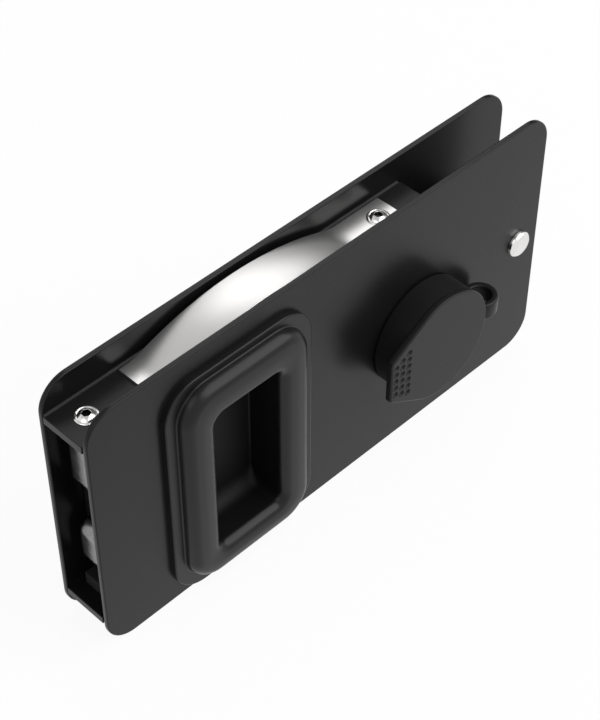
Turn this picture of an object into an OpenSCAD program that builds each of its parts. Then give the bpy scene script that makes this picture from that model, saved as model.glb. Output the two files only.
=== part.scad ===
// Flush door latch for a sliding or hinged leaf with a notch cut in its edge.
// X runs from the leading edge into the leaf, Y is zero halfway through the leaf,
// Z is zero at the height of the clamp bolt. The front faces -Y.

/* [Plates] */
// Length of both face plates, along X
plate_l = 150; // [140:1:180]
// Height of both face plates
plate_h = 76; // [74:1:90]
// Thickness of each face plate
plate_t = 1.8; // [1.4:0.1:3]
// Corner radius of the face plates
plate_r = 8; // [4:1:12]
// Thickness of the door leaf that the plates straddle
leaf_t = 12; // [12:0.2:16]
// Play left for the leaf between the plates
leaf_play = 0.4; // [0.2:0.1:1]

/* [Case] */
// Distance of the case's rear end behind the turn axis
case_past = 7.2; // [7:0.1:9]
// Clearance between the transfer bar and the top of the case
case_room = 1.8; // [1:0.1:3]
// Wall of the channel case
case_wall = 2; // [1.6:0.1:2.6]
// Thickness of the case's end, behind the turn
case_end = 1.2; // [0.8:0.1:1.2]
// Length of the boss under the case top that takes the rear screw
case_boss_l = 5.6; // [4:0.2:7]
// Radius of that boss
case_boss_r = 3.6; // [3:0.1:4.5]

/* [Leaf spring] */
// Width of the bowed strip
strip_w = 11.5; // [8:0.1:12]
// Thickness of the bowed strip
strip_t = 0.7; // [0.5:0.05:1]
// Where the strip starts
strip_x = 21.3; // [18:0.1:24]
// Flat tab at the strip's free end
strip_tab = 2.7; // [2:0.1:6]
// Rise of the bow above the tabs
bow_rise = 6.2; // [3:0.1:6.5]
// Radius of the concave foot at each end of the bow
foot_r = 12; // [6:1:16]
// Flat tab at the screwed end
screw_tab = 15.3; // [12:0.1:18]
// Length of that tab behind its screw
strip_past = 6.3; // [4:0.1:8]
// Play of the screw in the strip
strip_play = 0.1; // [0.05:0.05:0.3]

/* [Case screws] */
// Where the front case screw stands
case_screw_x1 = 6.8; // [6:0.1:9]
// Distance of the rear case screw ahead of the turn axis
case_screw_dx = 6.8; // [6:0.1:9]
// Radius of the screw thread
case_screw_r = 1.5; // [1.25:0.05:1.75]
// Radius of the rounded head
case_head_r = 2.6; // [2.4:0.05:2.8]
// Height of the rounded head
case_head_h = 1.7; // [1.4:0.1:2]
// Radius of the flange under the head
case_flange_r = 3.1; // [3:0.05:3.4]
// Thickness of that flange
case_flange_t = 0.45; // [0.3:0.05:0.6]
// Width across flats of the hexagon socket
case_hex = 2; // [1.5:0.1:2.5]
// Depth of the hexagon socket
case_hex_depth = 1.2; // [0.8:0.1:1.5]
// Thread length below the head's seat
case_screw_l = 8; // [7:0.5:9]

/* [Pulls] */
// Clearance between the cheeks and the cups
pull_room = 0.85; // [0.5:0.05:3]
// Centre height of the pulls
pull_z = -2.9; // [-3.1:0.1:-2.4]
// Width of the finger opening
pull_w = 20.3; // [19:0.1:21]
// Height of the finger opening
pull_h = 44.6; // [36:0.2:45]
// Corner radius of the finger opening
pull_r = 2.5; // [2:0.5:5]
// Wall of the cup
cup_wall = 1; // [0.8:0.1:1.2]
// Gap between the two cups at the middle of the leaf
cup_gap = 0.2; // [0.1:0.1:0.6]
// Width of the rounded rim beside the opening
rim_side = 8.35; // [7.4:0.05:9]
// Width of the rim above and below the opening
rim_end = 8.9; // [8:0.1:9.5]
// Shift of the rim towards the turn
rim_dx = 0.5; // [0:0.1:0.8]
// Shift of the rim upwards
rim_dz = 0.2; // [0:0.1:0.6]
// Height of the rounded rim above the plate
rim_h = 5; // [4.4:0.1:6]
// Corner radius of the rim, seen from the front
rim_r = 9; // [8.5:0.1:11]
// Radius of the rim's outer edge
rim_ro = 3.8; // [2.5:0.1:4]
// Radius of the rim's inner edge
rim_ri = 2.8; // [1:0.1:2.8]
// Flange beyond the rim's sides
flange_side = 4; // [3:0.1:5]
// Flange beyond the rim's ends
flange_end = 2.95; // [2:0.05:3.5]
// Shift of the flange upwards from the opening
flange_dz = 0.55; // [0:0.05:0.8]
// Thickness of the flange
flange_t = 0.8; // [0.6:0.1:1.2]
// Corner radius of the flange
flange_r = 9.5; // [9:0.5:14]

/* [Turn] */
// Distance of the turn axis from the plates' rear end
turn_inset = 46.2; // [42:0.1:54]
// Turn axis height
turn_z = -4.3; // [-5:0.1:-4]
// Radius of the round drum
drum_r = 15.4; // [14:0.1:16]
// Height of the front of the turn plate above the face plate
turn_h = 9.6; // [9:0.1:12]
// Thickness of the turn plate
turn_t = 2; // [1.6:0.1:2.4]
// Radius of the turn plate's round end
turn_r = 15.6; // [14:0.1:16]
// Reach of the thumb tab from the axis
tab_reach = 19.2; // [19:0.1:22]
// Slope of the tab's edges
tab_slope = 31.6; // [29:0.2:33]
// Corner radius of the tab
tab_r = 1.2; // [0.8:0.1:1.4]
// Running gap between the turning parts and the face plate
run_gap = 0.3; // [0.2:0.05:0.5]
// Wall of the hollow drum
drum_wall = 2.6; // [2:0.1:4]
// Thickness of the drum's face
drum_face = 2; // [1.6:0.1:2.4]
// Radius of the drum's hub
hub_r = 6.2; // [6:0.1:7]
// Radius of the spindle
spindle_r = 4; // [3.6:0.1:4.1]
// Running radial clearance of the spindle and the hook pin
run_fit = 0.05; // [0.02:0.01:0.1]
// Length by which the spindle stops short of the drum's face
spindle_short = 2; // [1.8:0.1:2.4]
// Thread radius of the screws that hold the drums on the spindle
drum_screw_r = 2; // [1.5:0.1:2.2]
// Head radius of those screws
drum_screw_head = 3.6; // [3.2:0.1:3.8]
// Length of those screws
drum_screw_l = 9.6; // [8:0.1:12]
// Width across flats of their hexagon socket
drum_hex = 2.5; // [2:0.1:3]
// Depth of that socket
drum_hex_depth = 1.4; // [1:0.1:1.8]

/* [Thumb dimples] */
// Radius of a dimple
dimple_r = 0.88; // [0.6:0.01:0.95]
// Depth of a dimple
dimple_depth = 0.65; // [0.3:0.05:0.8]
// Distance between dimples
dimple_pitch = 2.25; // [2:0.05:2.5]
// Distance from the tab's end to the first column
dimple_edge = 1.5; // [1.5:0.1:2.5]
// Dimples in the first column
dimple_rows = 5; // [3:1:5]
// Columns of dimples, each one dimple longer than the last
dimple_cols = 3; // [1:1:4]

/* [Cord eye] */
// Distance of the eye's bore from the turn axis
eye_x = 18.4; // [18.3:0.1:19]
// Outer radius of the eye
eye_r = 4.6; // [4:0.1:4.6]
// Radius of the eye's bore
eye_bore = 2.9; // [2:0.1:3]
// Thickness of the eye
eye_t = 5; // [4:0.1:6]

/* [Bushes] */
// Outer radius of the spindle bushes
bush_r = 5; // [4.8:0.1:5.2]
// Radius of the bush flange inside the case
bush_flange_r = 5.7; // [5.5:0.1:5.7]
// Thickness of the bush flange
bush_flange_t = 0.6; // [0.4:0.1:0.7]

/* [Drive cam] */
// Throw of the crank pin
crank_throw = 8; // [7:0.1:8.4]
// Radius of the crank pin
crank_r = 1.5; // [1.2:0.1:1.6]
// Thickness of the cam
cam_t = 3.2; // [2.6:0.1:3.4]
// Clearance between the cam and the transfer bar
cam_play = 0.3; // [0.2:0.05:0.5]
// Length of the crank pin beyond the bar
crank_past = 0.6; // [0.2:0.1:1]
// Radius of the cam around the spindle
cam_r = 5.7; // [5.4:0.1:5.7]
// Radius of the cam around the crank pin
cam_eye_r = 3.2; // [2.8:0.1:3.4]
// Radius of the cross pin that holds the cam
cross_r = 0.8; // [0.6:0.1:1]
// Turn of the knob from rest to its stop
turn_angle = 35; // [25:1:35]

/* [Transfer bar] */
// Thickness of the transfer bar
bar_t = 3; // [2.4:0.1:3.2]
// Height of the bar's level runs
bar_h = 5; // [4:0.1:5]
// Clearance between the bar and the cups
bar_clear = 1; // [0.6:0.1:1.2]
// Play each side of a drive pin in its slot
slot_play = 0.2; // [0.15:0.05:0.3]
// Wall beside a drive pin's slot
slot_wall = 2.1; // [1.8:0.1:2.2]
// Width of the bar's upright webs
web_w = 5.6; // [4:0.1:6]
// Clearance between the bar's fork and the spindle
fork_room = 1; // [0.6:0.1:1.4]
// Length of the bar's leg below the hook's drive pin
leg_past = 1.7; // [1.2:0.1:2.2]
// Height of the leg's wide foot above that pin
leg_foot = 5; // [4:0.5:7]
// Left edge of the leg's shank beyond that pin
leg_edge = 0.5; // [0:0.1:1.5]

/* [Guide pins] */
// Radius of the guide pins
guide_r = 1.5; // [1.2:0.1:1.5]
// Distance of the first guide pin ahead of the pull's centre
guide_dx1 = 6.6; // [3:0.1:8]
// Distance of the second guide pin behind the pull's centre
guide_dx2 = 14.4; // [12:0.1:15]
// Play of the guide pins across their slots
guide_play = 0.1; // [0.05:0.05:0.2]
// Radius of the spacers on the guide pins
guide_spacer_r = 2.5; // [2.3:0.1:2.5]
// Clearance between the spacers and the bar
spacer_play = 0.1; // [0.05:0.05:0.3]
// Depth of the blind holes that hold the pins in the plates
blind = 0.9; // [0.6:0.1:1]

/* [Hook] */
// Hook pivot along X
hook_x = 24; // [23.6:0.1:24.4]
// Height of the hook pivot above the case's floor
hook_rise = 8.7; // [8.4:0.1:9]
// Thickness of the hook
hook_t = 8.6; // [7:0.1:9]
// Radius of the hook's hub
hook_hub_r = 5.5; // [5:0.1:5.8]
// Radius of the hook pin
hook_pin_r = 2; // [1.8:0.1:2.4]
// Set-back of the nose's flat front from the leading edge
nose_x = 4.2; // [3.5:0.1:6]
// Half height of the nose
nose_half = 5.6; // [4.6:0.1:5.8]
// Corner radius of the nose at the mouth
nose_r = 3.6; // [2:0.1:4.5]
// Height of the nose's centre above the pivot
nose_rise = 7.6; // [7.2:0.1:8]
// Half height of the hook's arm
arm_half = 3.6; // [3:0.1:4]
// Height of the drive pin above the pivot, in the hook's upright arm
lift_rise = 14.5; // [14:0.1:15]
// Distance of that pin from the hub along X
lift_x = 1; // [0:0.1:1.5]
// Radius of the upright arm
lift_r = 3.2; // [2.8:0.1:3.4]
// Width of the slot in the upright arm
fork_w = 3.8; // [3.6:0.1:4.2]
// Height of solid arm left above the hub, under the slot
fork_floor = 0.4; // [0.2:0.1:1]
// Depth of the recess for the hook spring
hook_recess = 2.6; // [2.6:0.1:3]

/* [Blocks] */
// Set-back of the guide block from the leading edge
block_x = 4.2; // [4:0.1:6]
// Length of the guide block
block_l = 12; // [10:0.5:14]
// Height of the guide block's lower face
block_z = 9.2; // [8.5:0.1:10]
// Side clearance of the hook between the cheeks
hook_play = 0.1; // [0.05:0.05:0.2]
// Set-back of the cheeks from the leading edge
cheek_x = 8; // [7:0.1:9]
// Cheeks beyond the hook's hub
cheek_past = 1.1; // [0.6:0.1:2]
// Distance of the block's screw from its rear end
block_screw = 4; // [3.5:0.1:4.5]
// Thickness of the stop pad
pad_t = 3.9; // [2.6:0.1:4]
// Length of the stop pad
pad_l = 9; // [6:0.5:10]

/* [Clamp bolt] */
// Distance of the clamp bolt from the plates' rear end
clamp_inset = 8; // [7:0.5:11]
// Radius of both bolt heads
clamp_head_r = 3.65; // [3.4:0.05:5]
// Height of both bolt heads
clamp_head_h = 1.6; // [1.2:0.1:2.2]
// Chamfer of the bolt heads
clamp_chamfer = 0.5; // [0.2:0.1:0.8]
// Outer radius of the barrel nut
barrel_r = 2.8; // [2.6:0.1:3]
// Thread radius of the clamp screw
clamp_thread_r = 2; // [1.5:0.1:2.1]
// Outer radius of the spacer tube
spacer_r = 4; // [3.5:0.1:4.5]
// Width across flats of the clamp screw's socket
clamp_hex = 2.5; // [2:0.1:3]
// Depth of that socket
clamp_hex_depth = 1.1; // [0.8:0.1:1.3]
// Length by which nut and thread stop short of the far plate
clamp_short = 2; // [1:0.1:3]
// Length by which the screw's shoulder stops short of the spacer
shoulder_short = 0.2; // [0.1:0.1:0.6]

/* [Rear plate screws] */
// Thread radius of the countersunk screws
csk_r = 1.5; // [1.25:0.05:1.5]
// Head radius of the countersunk screws
csk_head_r = 2.9; // [2.7:0.1:3]
// Length of the countersunk screws
csk_l = 9; // [8:0.5:10]
// Width across flats of their hexagon socket
csk_hex = 2; // [1.5:0.1:2.5]
// Depth of that socket
csk_hex_depth = 1.2; // [0.8:0.1:1.4]
// Radius of the posts that take them
post_r = 3; // [2.6:0.1:3.2]
// Depth by which the posts stand in the case's walls
post_sink = 0.4; // [0.2:0.1:0.8]
// Distance of the lone post from the flange
post_gap = 1.4; // [1:0.1:3]

/* [Torsion springs] */
// Radius of the spring wire
wire_r = 0.35; // [0.3:0.01:0.36]
// Gap between the coils and what they go round
coil_play = 0.3; // [0.2:0.05:0.4]
// Gap between the coils and what they lie between
coil_end = 0.1; // [0.05:0.01:0.12]
// Turns of the hook's spring
hook_turns = 1.5; // [0.5:1:1.5]
// Turns of the return spring
return_turns = 3.5; // [2.5:1:4.5]
// Length of the spring legs that stand in their holes
leg_l = 1.3; // [1.1:0.05:1.4]
// Room past the end of a leg or a thread in its hole
end_room = 0.2; // [0.1:0.05:0.3]

/* [Hidden] */
$fn = 64;
slip = 0.05;
// pieces that meet along a curve overlap by this much
lap = 0.02;
// cuts run past the faces that they open by this much
past = 1;
inner_y = (leaf_t + leaf_play) / 2;
face_y = inner_y + plate_t;

// Places along X
turn_x = plate_l - turn_inset;
clamp_x = plate_l - clamp_inset;
case_l = turn_x + case_past;
case_screw_x2 = turn_x - case_screw_dx;
cheek_end = hook_x + hook_hub_r + cheek_past;
pull_x = cheek_end + pull_room + cup_wall + pull_w / 2;
guide_x1 = pull_x - guide_dx1;
guide_x2 = pull_x + guide_dx2;

// Heights that follow from the cups
cup_top = pull_z + pull_h / 2 + cup_wall;
bar_top0 = cup_top + bar_clear;
bar_top1 = bar_top0 + bar_h;
bar_mid = (bar_top0 + bar_top1) / 2;
case_in = bar_top1 + case_room;
case_top = case_in + case_wall;
case_h = 2 * case_top;
hook_z = -case_in + hook_rise;
nose_z = hook_z + nose_rise;
lift_z = hook_z + lift_rise;

// Turn unit, all measured along Y on the front side
turn_front = face_y + turn_h;
turn_back = turn_front - turn_t;
drum_back = face_y + run_gap;
spindle_half = turn_back - spindle_short;

// Inner faces of the cheeks on both sides of the hook
cheek_y = hook_t / 2 + hook_play;

// Pulls
rim_out_w = pull_w + 2 * rim_side;
rim_out_h = pull_h + 2 * rim_end;
flange_w = rim_out_w + 2 * flange_side;
flange_h = rim_out_h + 2 * flange_end;
cup_back = cup_gap / 2;

// Torsion springs round the hook pin and round the drum's hub
hook_coil_r = (hook_pin_r + coil_play + wire_r) / cos(22.5);
hook_recess_y = hook_t / 2 - hook_recess;
hook_coil_y0 = hook_recess_y + wire_r + coil_end;
hook_coil_y1 = hook_t / 2 - wire_r - coil_end;
turn_coil_r = (hub_r + coil_play + wire_r) / cos(22.5);
turn_coil_y0 = drum_back + wire_r + coil_end;
turn_coil_y1 = turn_back - drum_face - wire_r - coil_end;

// Crank, bar and hook move together
bar_travel = crank_throw * sin(turn_angle);
crank_z = turn_z + crank_throw;
fork_low = turn_z + spindle_r + fork_room;
bar_low0 = crank_z + crank_r + slot_play;
bar_low1 = bar_low0 + bar_h;
slot_half = crank_r + slot_play;
web_x = pull_x + pull_w / 2 + cup_wall + bar_clear + bar_travel;
lift_px = hook_x + lift_x;
leg_low = lift_z - crank_r - leg_past;
cam_y0 = bar_t / 2 + cam_play;
cam_y1 = cam_y0 + cam_t;

// Bow of the leaf spring
strip_end = case_screw_x2 + strip_past;
bow_x0 = strip_x + strip_tab;
bow_span = strip_end - screw_tab - bow_x0;
bow_half = bow_span / 2;
bow_angle = 2 * atan(bow_rise / bow_half);
bow_mid_r = bow_half / sin(bow_angle) - foot_r;
bow_cx = bow_x0 + bow_half;

// Shared helpers

// A round bar along Y between two places
module bar_y(x, z, r, y0, y1) {
    translate([x, y0, z])
        rotate([-90, 0, 0])
            cylinder(r = r, h = y1 - y0);
}

// A flat outline drawn in X and Z, given thickness along Y
module slab(y0, y1) {
    translate([0, y1, 0])
        rotate([90, 0, 0])
            linear_extrude(y1 - y0)
                children();
}

// A rounded rectangle about a centre
module round_rect(cx, cy, w, h, r) {
    translate([cx, cy]) {
        square([w, h - 2 * r], center = true);
        square([w - 2 * r, h], center = true);
        for (sx = [-1, 1], sy = [-1, 1])
            translate([sx * (w / 2 - r), sy * (h / 2 - r)])
                circle(r = r);
    }
}

// A straight arm with round ends
module arm(x0, z0, x1, z1, r) {
    len = norm([x1 - x0, z1 - z0]);
    translate([x0, z0])
        rotate(atan2(z1 - z0, x1 - x0)) {
            circle(r = r);
            translate([len, 0])
                circle(r = r);
            translate([0, -r])
                square([len, 2 * r]);
        }
}

// Everything on the rear is the front's mirror image
module rear() {
    mirror([0, 1, 0])
        children();
}

// Both places where a countersunk screw has a post in the case
post_x = case_l - case_end - post_r + post_sink;
post_z = case_in - post_r + post_sink;
csk_posts = [[post_x, post_z],
             [post_x, -post_z],
             [pull_x + flange_w / 2 + post_gap + post_r, -post_z]];
csk_block = [block_x + block_l - block_screw, (block_z + case_in) / 2];
csk_places = concat(csk_posts, [csk_block]);

// Face plates

module plate_outline() {
    round_rect(plate_l / 2, 0, plate_l, plate_h, plate_r);
}

module plain_plate() {
    difference() {
        slab(-face_y, -inner_y)
            plate_outline();
        slab(-face_y - past, -inner_y + past)
            round_rect(pull_x, pull_z, pull_w + 2 * cup_wall + 2 * slip,
                       pull_h + 2 * cup_wall + 2 * slip, pull_r + cup_wall + slip);
        bar_y(turn_x, turn_z, bush_r, -face_y - past, -inner_y + past);
        bar_y(clamp_x, 0, barrel_r + slip, -face_y - past, -inner_y + past);
        for (x = [guide_x1, guide_x2])
            bar_y(x, bar_mid, guide_r, -inner_y - blind, -inner_y + past);
    }
}

module front_plate() {
    color([0.27, 0.27, 0.28])
        difference() {
            plain_plate();
            bar_y(turn_x - turn_coil_r, turn_z, wire_r + slip, -face_y - past, -turn_coil_y0 + leg_l + end_room);
        }
}

module rear_plate() {
    color([0.27, 0.27, 0.28])
        difference() {
            rear()
                plain_plate();
            for (p = csk_places)
                csk_shape(p[0], p[1], slip);
        }
}

// Channel case

module case() {
    color([0.16, 0.16, 0.17])
        difference() {
            union() {
                slab(-inner_y, inner_y)
                    difference() {
                        translate([0, -case_top])
                            square([case_l, case_h]);
                        translate([-past, -case_in])
                            square([case_l - case_end + past, 2 * case_in]);
                    }
                translate([case_screw_x2, 0, case_in - case_boss_l])
                    cylinder(r = case_boss_r, h = case_boss_l + case_wall / 2);
                for (p = csk_posts)
                    bar_y(p[0], p[1], post_r, -inner_y, inner_y);
            }
            for (x = [case_screw_x1, case_screw_x2])
                translate([x, 0, case_in - case_boss_l - past])
                    cylinder(r = case_screw_r + slip, h = case_boss_l + case_wall + 2 * past);
            for (p = csk_posts)
                bar_y(p[0], p[1], csk_r + slip, face_y - csk_l - end_room, inner_y + past);
        }
}

// Leaf spring

// Middle line of the bow as [x, z, slope]: a concave foot, the long crown, a concave foot
bow_line = concat(
    [for (i = [0:5])
        let (a = bow_angle * i / 5)
        [bow_x0 + foot_r * sin(a), foot_r * (1 - cos(a)), a]],
    [for (i = [1:24])
        let (a = bow_angle * (1 - i / 12))
        [bow_cx - bow_mid_r * sin(a), bow_rise - bow_mid_r * (1 - cos(a)), a]],
    [for (i = [1:5])
        let (a = bow_angle * (i / 5 - 1))
        [bow_x0 + bow_span + foot_r * sin(a), foot_r * (1 - cos(a)), a]]);

module leaf_spring() {
    half = strip_t / 2;
    count = len(bow_line);
    upper = [for (p = bow_line) [p[0] - half * sin(p[2]), p[1] + half * cos(p[2])]];
    lower = [for (i = [count - 1:-1:0])
                 let (p = bow_line[i])
                 [p[0] + half * sin(p[2]), p[1] - half * cos(p[2])]];
    color([0.78, 0.78, 0.78])
        difference() {
            slab(-strip_w / 2, strip_w / 2)
                translate([0, case_top + half])
                    polygon(concat([[strip_x, half]], upper, [[strip_end, half], [strip_end, -half]],
                                   lower, [[strip_x, -half]]));
            translate([case_screw_x2, 0, case_top - past])
                cylinder(r = case_screw_r + strip_play, h = strip_t + 2 * past);
        }
}

// Case screws, a flanged round head over a plain thread

module case_screw(x, seat, grip) {
    ball_r = (case_head_r * case_head_r + case_head_h * case_head_h) / (2 * case_head_h);
    translate([x, 0, seat])
        difference() {
            union() {
                cylinder(r = case_flange_r, h = case_flange_t);
                intersection() {
                    translate([0, 0, case_head_h - ball_r])
                        sphere(r = ball_r);
                    cylinder(r = case_head_r, h = case_head_h + past);
                }
                translate([0, 0, -grip])
                    cylinder(r = case_screw_r, h = grip + case_flange_t);
            }
            translate([0, 0, case_head_h - case_hex_depth])
                cylinder(d = case_hex / cos(30), h = case_hex_depth + past, $fn = 6);
        }
}

module case_screws() {
    color([0.8, 0.8, 0.8]) {
        case_screw(case_screw_x1, case_top, case_screw_l);
        case_screw(case_screw_x2, case_top + strip_t, case_screw_l);
    }
}

// Guide block, the fixed jaw above the hook

module guide_block() {
    color([0.3, 0.3, 0.31])
        difference() {
            slab(-cheek_y, cheek_y)
                translate([block_x, block_z])
                    square([block_l, case_in - block_z]);
            translate([case_screw_x1, 0, case_top - case_screw_l - end_room])
                cylinder(r = case_screw_r + slip, h = case_screw_l + past);
            bar_y(csk_block[0], csk_block[1], csk_r + slip, face_y - csk_l - end_room, inner_y + past);
        }
}

// Hook

module hook_outline() {
    nose_top = nose_z + nose_half;
    nose_end = nose_x + 2 * nose_half;
    arm(hook_x, hook_z, nose_x + nose_half, nose_z, arm_half);
    translate([nose_x, nose_z - nose_half])
        square([2 * nose_half, 2 * nose_half - nose_r]);
    translate([nose_x + nose_r, nose_top - 2 * nose_r])
        square([nose_end - nose_x - 2 * nose_r, 2 * nose_r]);
    for (x = [nose_x + nose_r, nose_end - nose_r])
        translate([x, nose_top - nose_r])
            circle(r = nose_r);
    arm(hook_x, hook_z, lift_px, lift_z, lift_r);
    translate([hook_x, hook_z])
        circle(r = hook_hub_r);
}

module hook() {
    color([0.3, 0.3, 0.31])
        difference() {
            slab(-hook_t / 2, hook_t / 2)
                hook_outline();
            // slot that the transfer bar's leg works in
            slab(-fork_w / 2, fork_w / 2)
                translate([lift_px - 2 * lift_r, hook_z + hook_hub_r + fork_floor])
                    square([4 * lift_r, lift_rise]);
            bar_y(hook_x, hook_z, hook_pin_r + run_fit, -hook_t, hook_t);
            bar_y(lift_px, lift_z, crank_r, -hook_t, hook_t);
            // recess for the torsion spring
            bar_y(hook_x, hook_z, hook_hub_r - 1, hook_recess_y, hook_t);
            bar_y(hook_x - hook_coil_r, hook_z, wire_r + slip, hook_coil_y0 - leg_l - end_room, hook_t);
        }
}

module hook_pin() {
    color([0.75, 0.75, 0.76])
        bar_y(hook_x, hook_z, hook_pin_r, -inner_y, inner_y);
}

// Cheeks that carry the hook pin and hold the guide block

module cheek() {
    difference() {
        slab(-inner_y, -cheek_y)
            translate([cheek_x, -case_in])
                square([cheek_end - cheek_x, 2 * case_in]);
        bar_y(hook_x, hook_z, hook_pin_r, -inner_y - past, 0);
    }
}

module front_cheek() {
    color([0.14, 0.14, 0.15])
        cheek();
}

module rear_cheek() {
    color([0.14, 0.14, 0.15])
        difference() {
            rear()
                cheek();
            bar_y(csk_block[0], csk_block[1], csk_r + slip, 0, inner_y + past);
            bar_y(hook_x + hook_coil_r, hook_z, wire_r + slip, 0, hook_coil_y1 + leg_l + end_room);
        }
}

// Torsion springs, one tube of six sides with eight rings to a curl

function spring_path(r, y0, y1, turns) =
    let (n = 8 * turns)
    concat([[r, y0 - leg_l, 0]],
           [for (i = [0:n]) [r * cos(45 * i), y0 + (y1 - y0) * i / n, r * sin(45 * i)]],
           [[r * cos(45 * n), y1 + leg_l, r * sin(45 * n)]]);

hook_path = spring_path(hook_coil_r, hook_coil_y0, hook_coil_y1, hook_turns);
return_path = spring_path(turn_coil_r, -turn_coil_y1, -turn_coil_y0, return_turns);

// Least gap between the wire and itself, from points at least five rings apart
function least_gap(path) =
    min([for (i = [0:len(path) - 6], j = [i + 5:len(path) - 1]) norm(path[j] - path[i])]) - 2 * wire_r;

echo(hook_spring_gap = least_gap(hook_path));
echo(return_spring_gap = least_gap(return_path));

module spring_tube(path) {
    n = len(path);
    points = [for (i = [0:n - 1])
                  let (p = path[i],
                       t = path[min(i + 1, n - 1)] - path[max(i - 1, 0)],
                       out = [p[0], 0, p[2]] / norm([p[0], p[2]]),
                       side = cross(t, out) / norm(cross(t, out)))
                  for (k = [0:5])
                      p + wire_r * (cos(60 * k) * out + sin(60 * k) * side)];
    sides = [for (i = [0:n - 2], k = [0:5], half = [0, 1])
                 let (a = 6 * i + k, b = 6 * i + (k + 1) % 6)
                 half == 0 ? [a, a + 6, b] : [b, a + 6, b + 6]];
    caps = concat([for (k = [1:4]) [0, k, k + 1]],
                  [for (k = [1:4]) [6 * n - 6, 6 * n - 6 + k + 1, 6 * n - 6 + k]]);
    polyhedron(points = points, faces = concat(sides, caps));
}

module hook_spring() {
    color([0.7, 0.7, 0.72])
        translate([hook_x, 0, hook_z])
            rotate([0, 180, 0])
                spring_tube(hook_path);
}

module hook_drive_pin() {
    color([0.75, 0.75, 0.76])
        bar_y(lift_px, lift_z, crank_r, -hook_t / 2, hook_t / 2);
}

module hook_stop_pad() {
    color([0.12, 0.12, 0.12])
        slab(-cheek_y, cheek_y)
            translate([block_x, -case_in])
                square([pad_l, pad_t]);
}

// Transfer bar, cranked over the finger cups

module bar_slot(x) {
    translate([x, bar_mid]) {
        circle(r = guide_r + guide_play);
        translate([bar_travel, 0])
            circle(r = guide_r + guide_play);
        translate([0, -guide_r - guide_play])
            square([bar_travel, 2 * (guide_r + guide_play)]);
    }
}

module transfer_bar() {
    fork_half = slot_half + slot_wall;
    color([0.62, 0.62, 0.64])
        slab(-bar_t / 2, bar_t / 2)
            difference() {
                union() {
                    // fork on the crank pin
                    translate([turn_x - fork_half, fork_low])
                        square([2 * fork_half, bar_low1 - fork_low]);
                    // lower run
                    translate([web_x, bar_low0])
                        square([turn_x - web_x, bar_h]);
                    // upright web behind the cups
                    translate([web_x, bar_low0])
                        square([web_w, bar_top1 - bar_low0]);
                    // upper run over the cups
                    translate([lift_px - leg_edge, bar_top0])
                        square([web_x + web_w - lift_px + leg_edge, bar_h]);
                    // leg down to the hook
                    translate([lift_px - leg_edge, leg_low])
                        square([fork_half + leg_edge, bar_top1 - leg_low]);
                    translate([lift_px - fork_half, leg_low])
                        square([2 * fork_half, lift_z - leg_low + leg_foot]);
                }
                translate([turn_x - slot_half, fork_low - past])
                    square([2 * slot_half, crank_z + slot_half - fork_low + past]);
                translate([lift_px - slot_half, leg_low - past])
                    square([2 * slot_half, lift_z + slot_half - leg_low + past]);
                bar_slot(guide_x1);
                bar_slot(guide_x2);
            }
}

module guide_pins() {
    color([0.75, 0.75, 0.76])
        for (x = [guide_x1, guide_x2])
            bar_y(x, bar_mid, guide_r, -inner_y - blind, inner_y + blind);
}

module guide_spacer(x) {
    difference() {
        bar_y(x, bar_mid, guide_spacer_r, -inner_y, -bar_t / 2 - spacer_play);
        bar_y(x, bar_mid, guide_r + slip, -inner_y - past, 0);
    }
}

module guide_spacers() {
    color([0.85, 0.84, 0.8])
        for (x = [guide_x1, guide_x2]) {
            guide_spacer(x);
            rear()
                guide_spacer(x);
        }
}

// Drive cam and its pins

module drive_cam() {
    color([0.5, 0.5, 0.52])
        difference() {
            slab(cam_y0, cam_y1) {
                translate([turn_x, turn_z])
                    circle(r = cam_r);
                arm(turn_x, turn_z, turn_x, crank_z, cam_eye_r);
            }
            bar_y(turn_x, turn_z, spindle_r, 0, inner_y);
            bar_y(turn_x, crank_z, crank_r, 0, inner_y);
            cross_hole();
        }
}

// The cross pin runs along X through the cam and the spindle
module cross_hole() {
    translate([turn_x - cam_r, (cam_y0 + cam_y1) / 2, turn_z])
        rotate([0, 90, 0])
            cylinder(r = cross_r, h = 2 * cam_r);
}

module crank_pin() {
    color([0.75, 0.75, 0.76])
        bar_y(turn_x, crank_z, crank_r, -bar_t / 2 - crank_past, cam_y1);
}

module cam_cross_pin() {
    half = sqrt(cam_r * cam_r - cross_r * cross_r);
    color([0.7, 0.7, 0.72])
        translate([turn_x - half, (cam_y0 + cam_y1) / 2, turn_z])
            rotate([0, 90, 0])
                cylinder(r = cross_r, h = 2 * half);
}

module spindle() {
    hole = drum_screw_l - spindle_short + end_room;
    color([0.7, 0.7, 0.72])
        difference() {
            bar_y(turn_x, turn_z, spindle_r, -spindle_half, spindle_half);
            cross_hole();
            for (s = [-1, 1])
                bar_y(turn_x, turn_z, drum_screw_r, s * spindle_half - hole, s * spindle_half + hole);
        }
}

// Bushes in the plates

module bush() {
    difference() {
        union() {
            bar_y(turn_x, turn_z, bush_r, -face_y, -inner_y);
            bar_y(turn_x, turn_z, bush_flange_r, -inner_y, -inner_y + bush_flange_t);
        }
        bar_y(turn_x, turn_z, spindle_r + run_fit, -face_y - past, 0);
    }
}

module front_bush() {
    color([0.85, 0.84, 0.8])
        bush();
}

module rear_bush() {
    color([0.85, 0.84, 0.8])
        rear()
            bush();
}

// Drums with the cord eye

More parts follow.
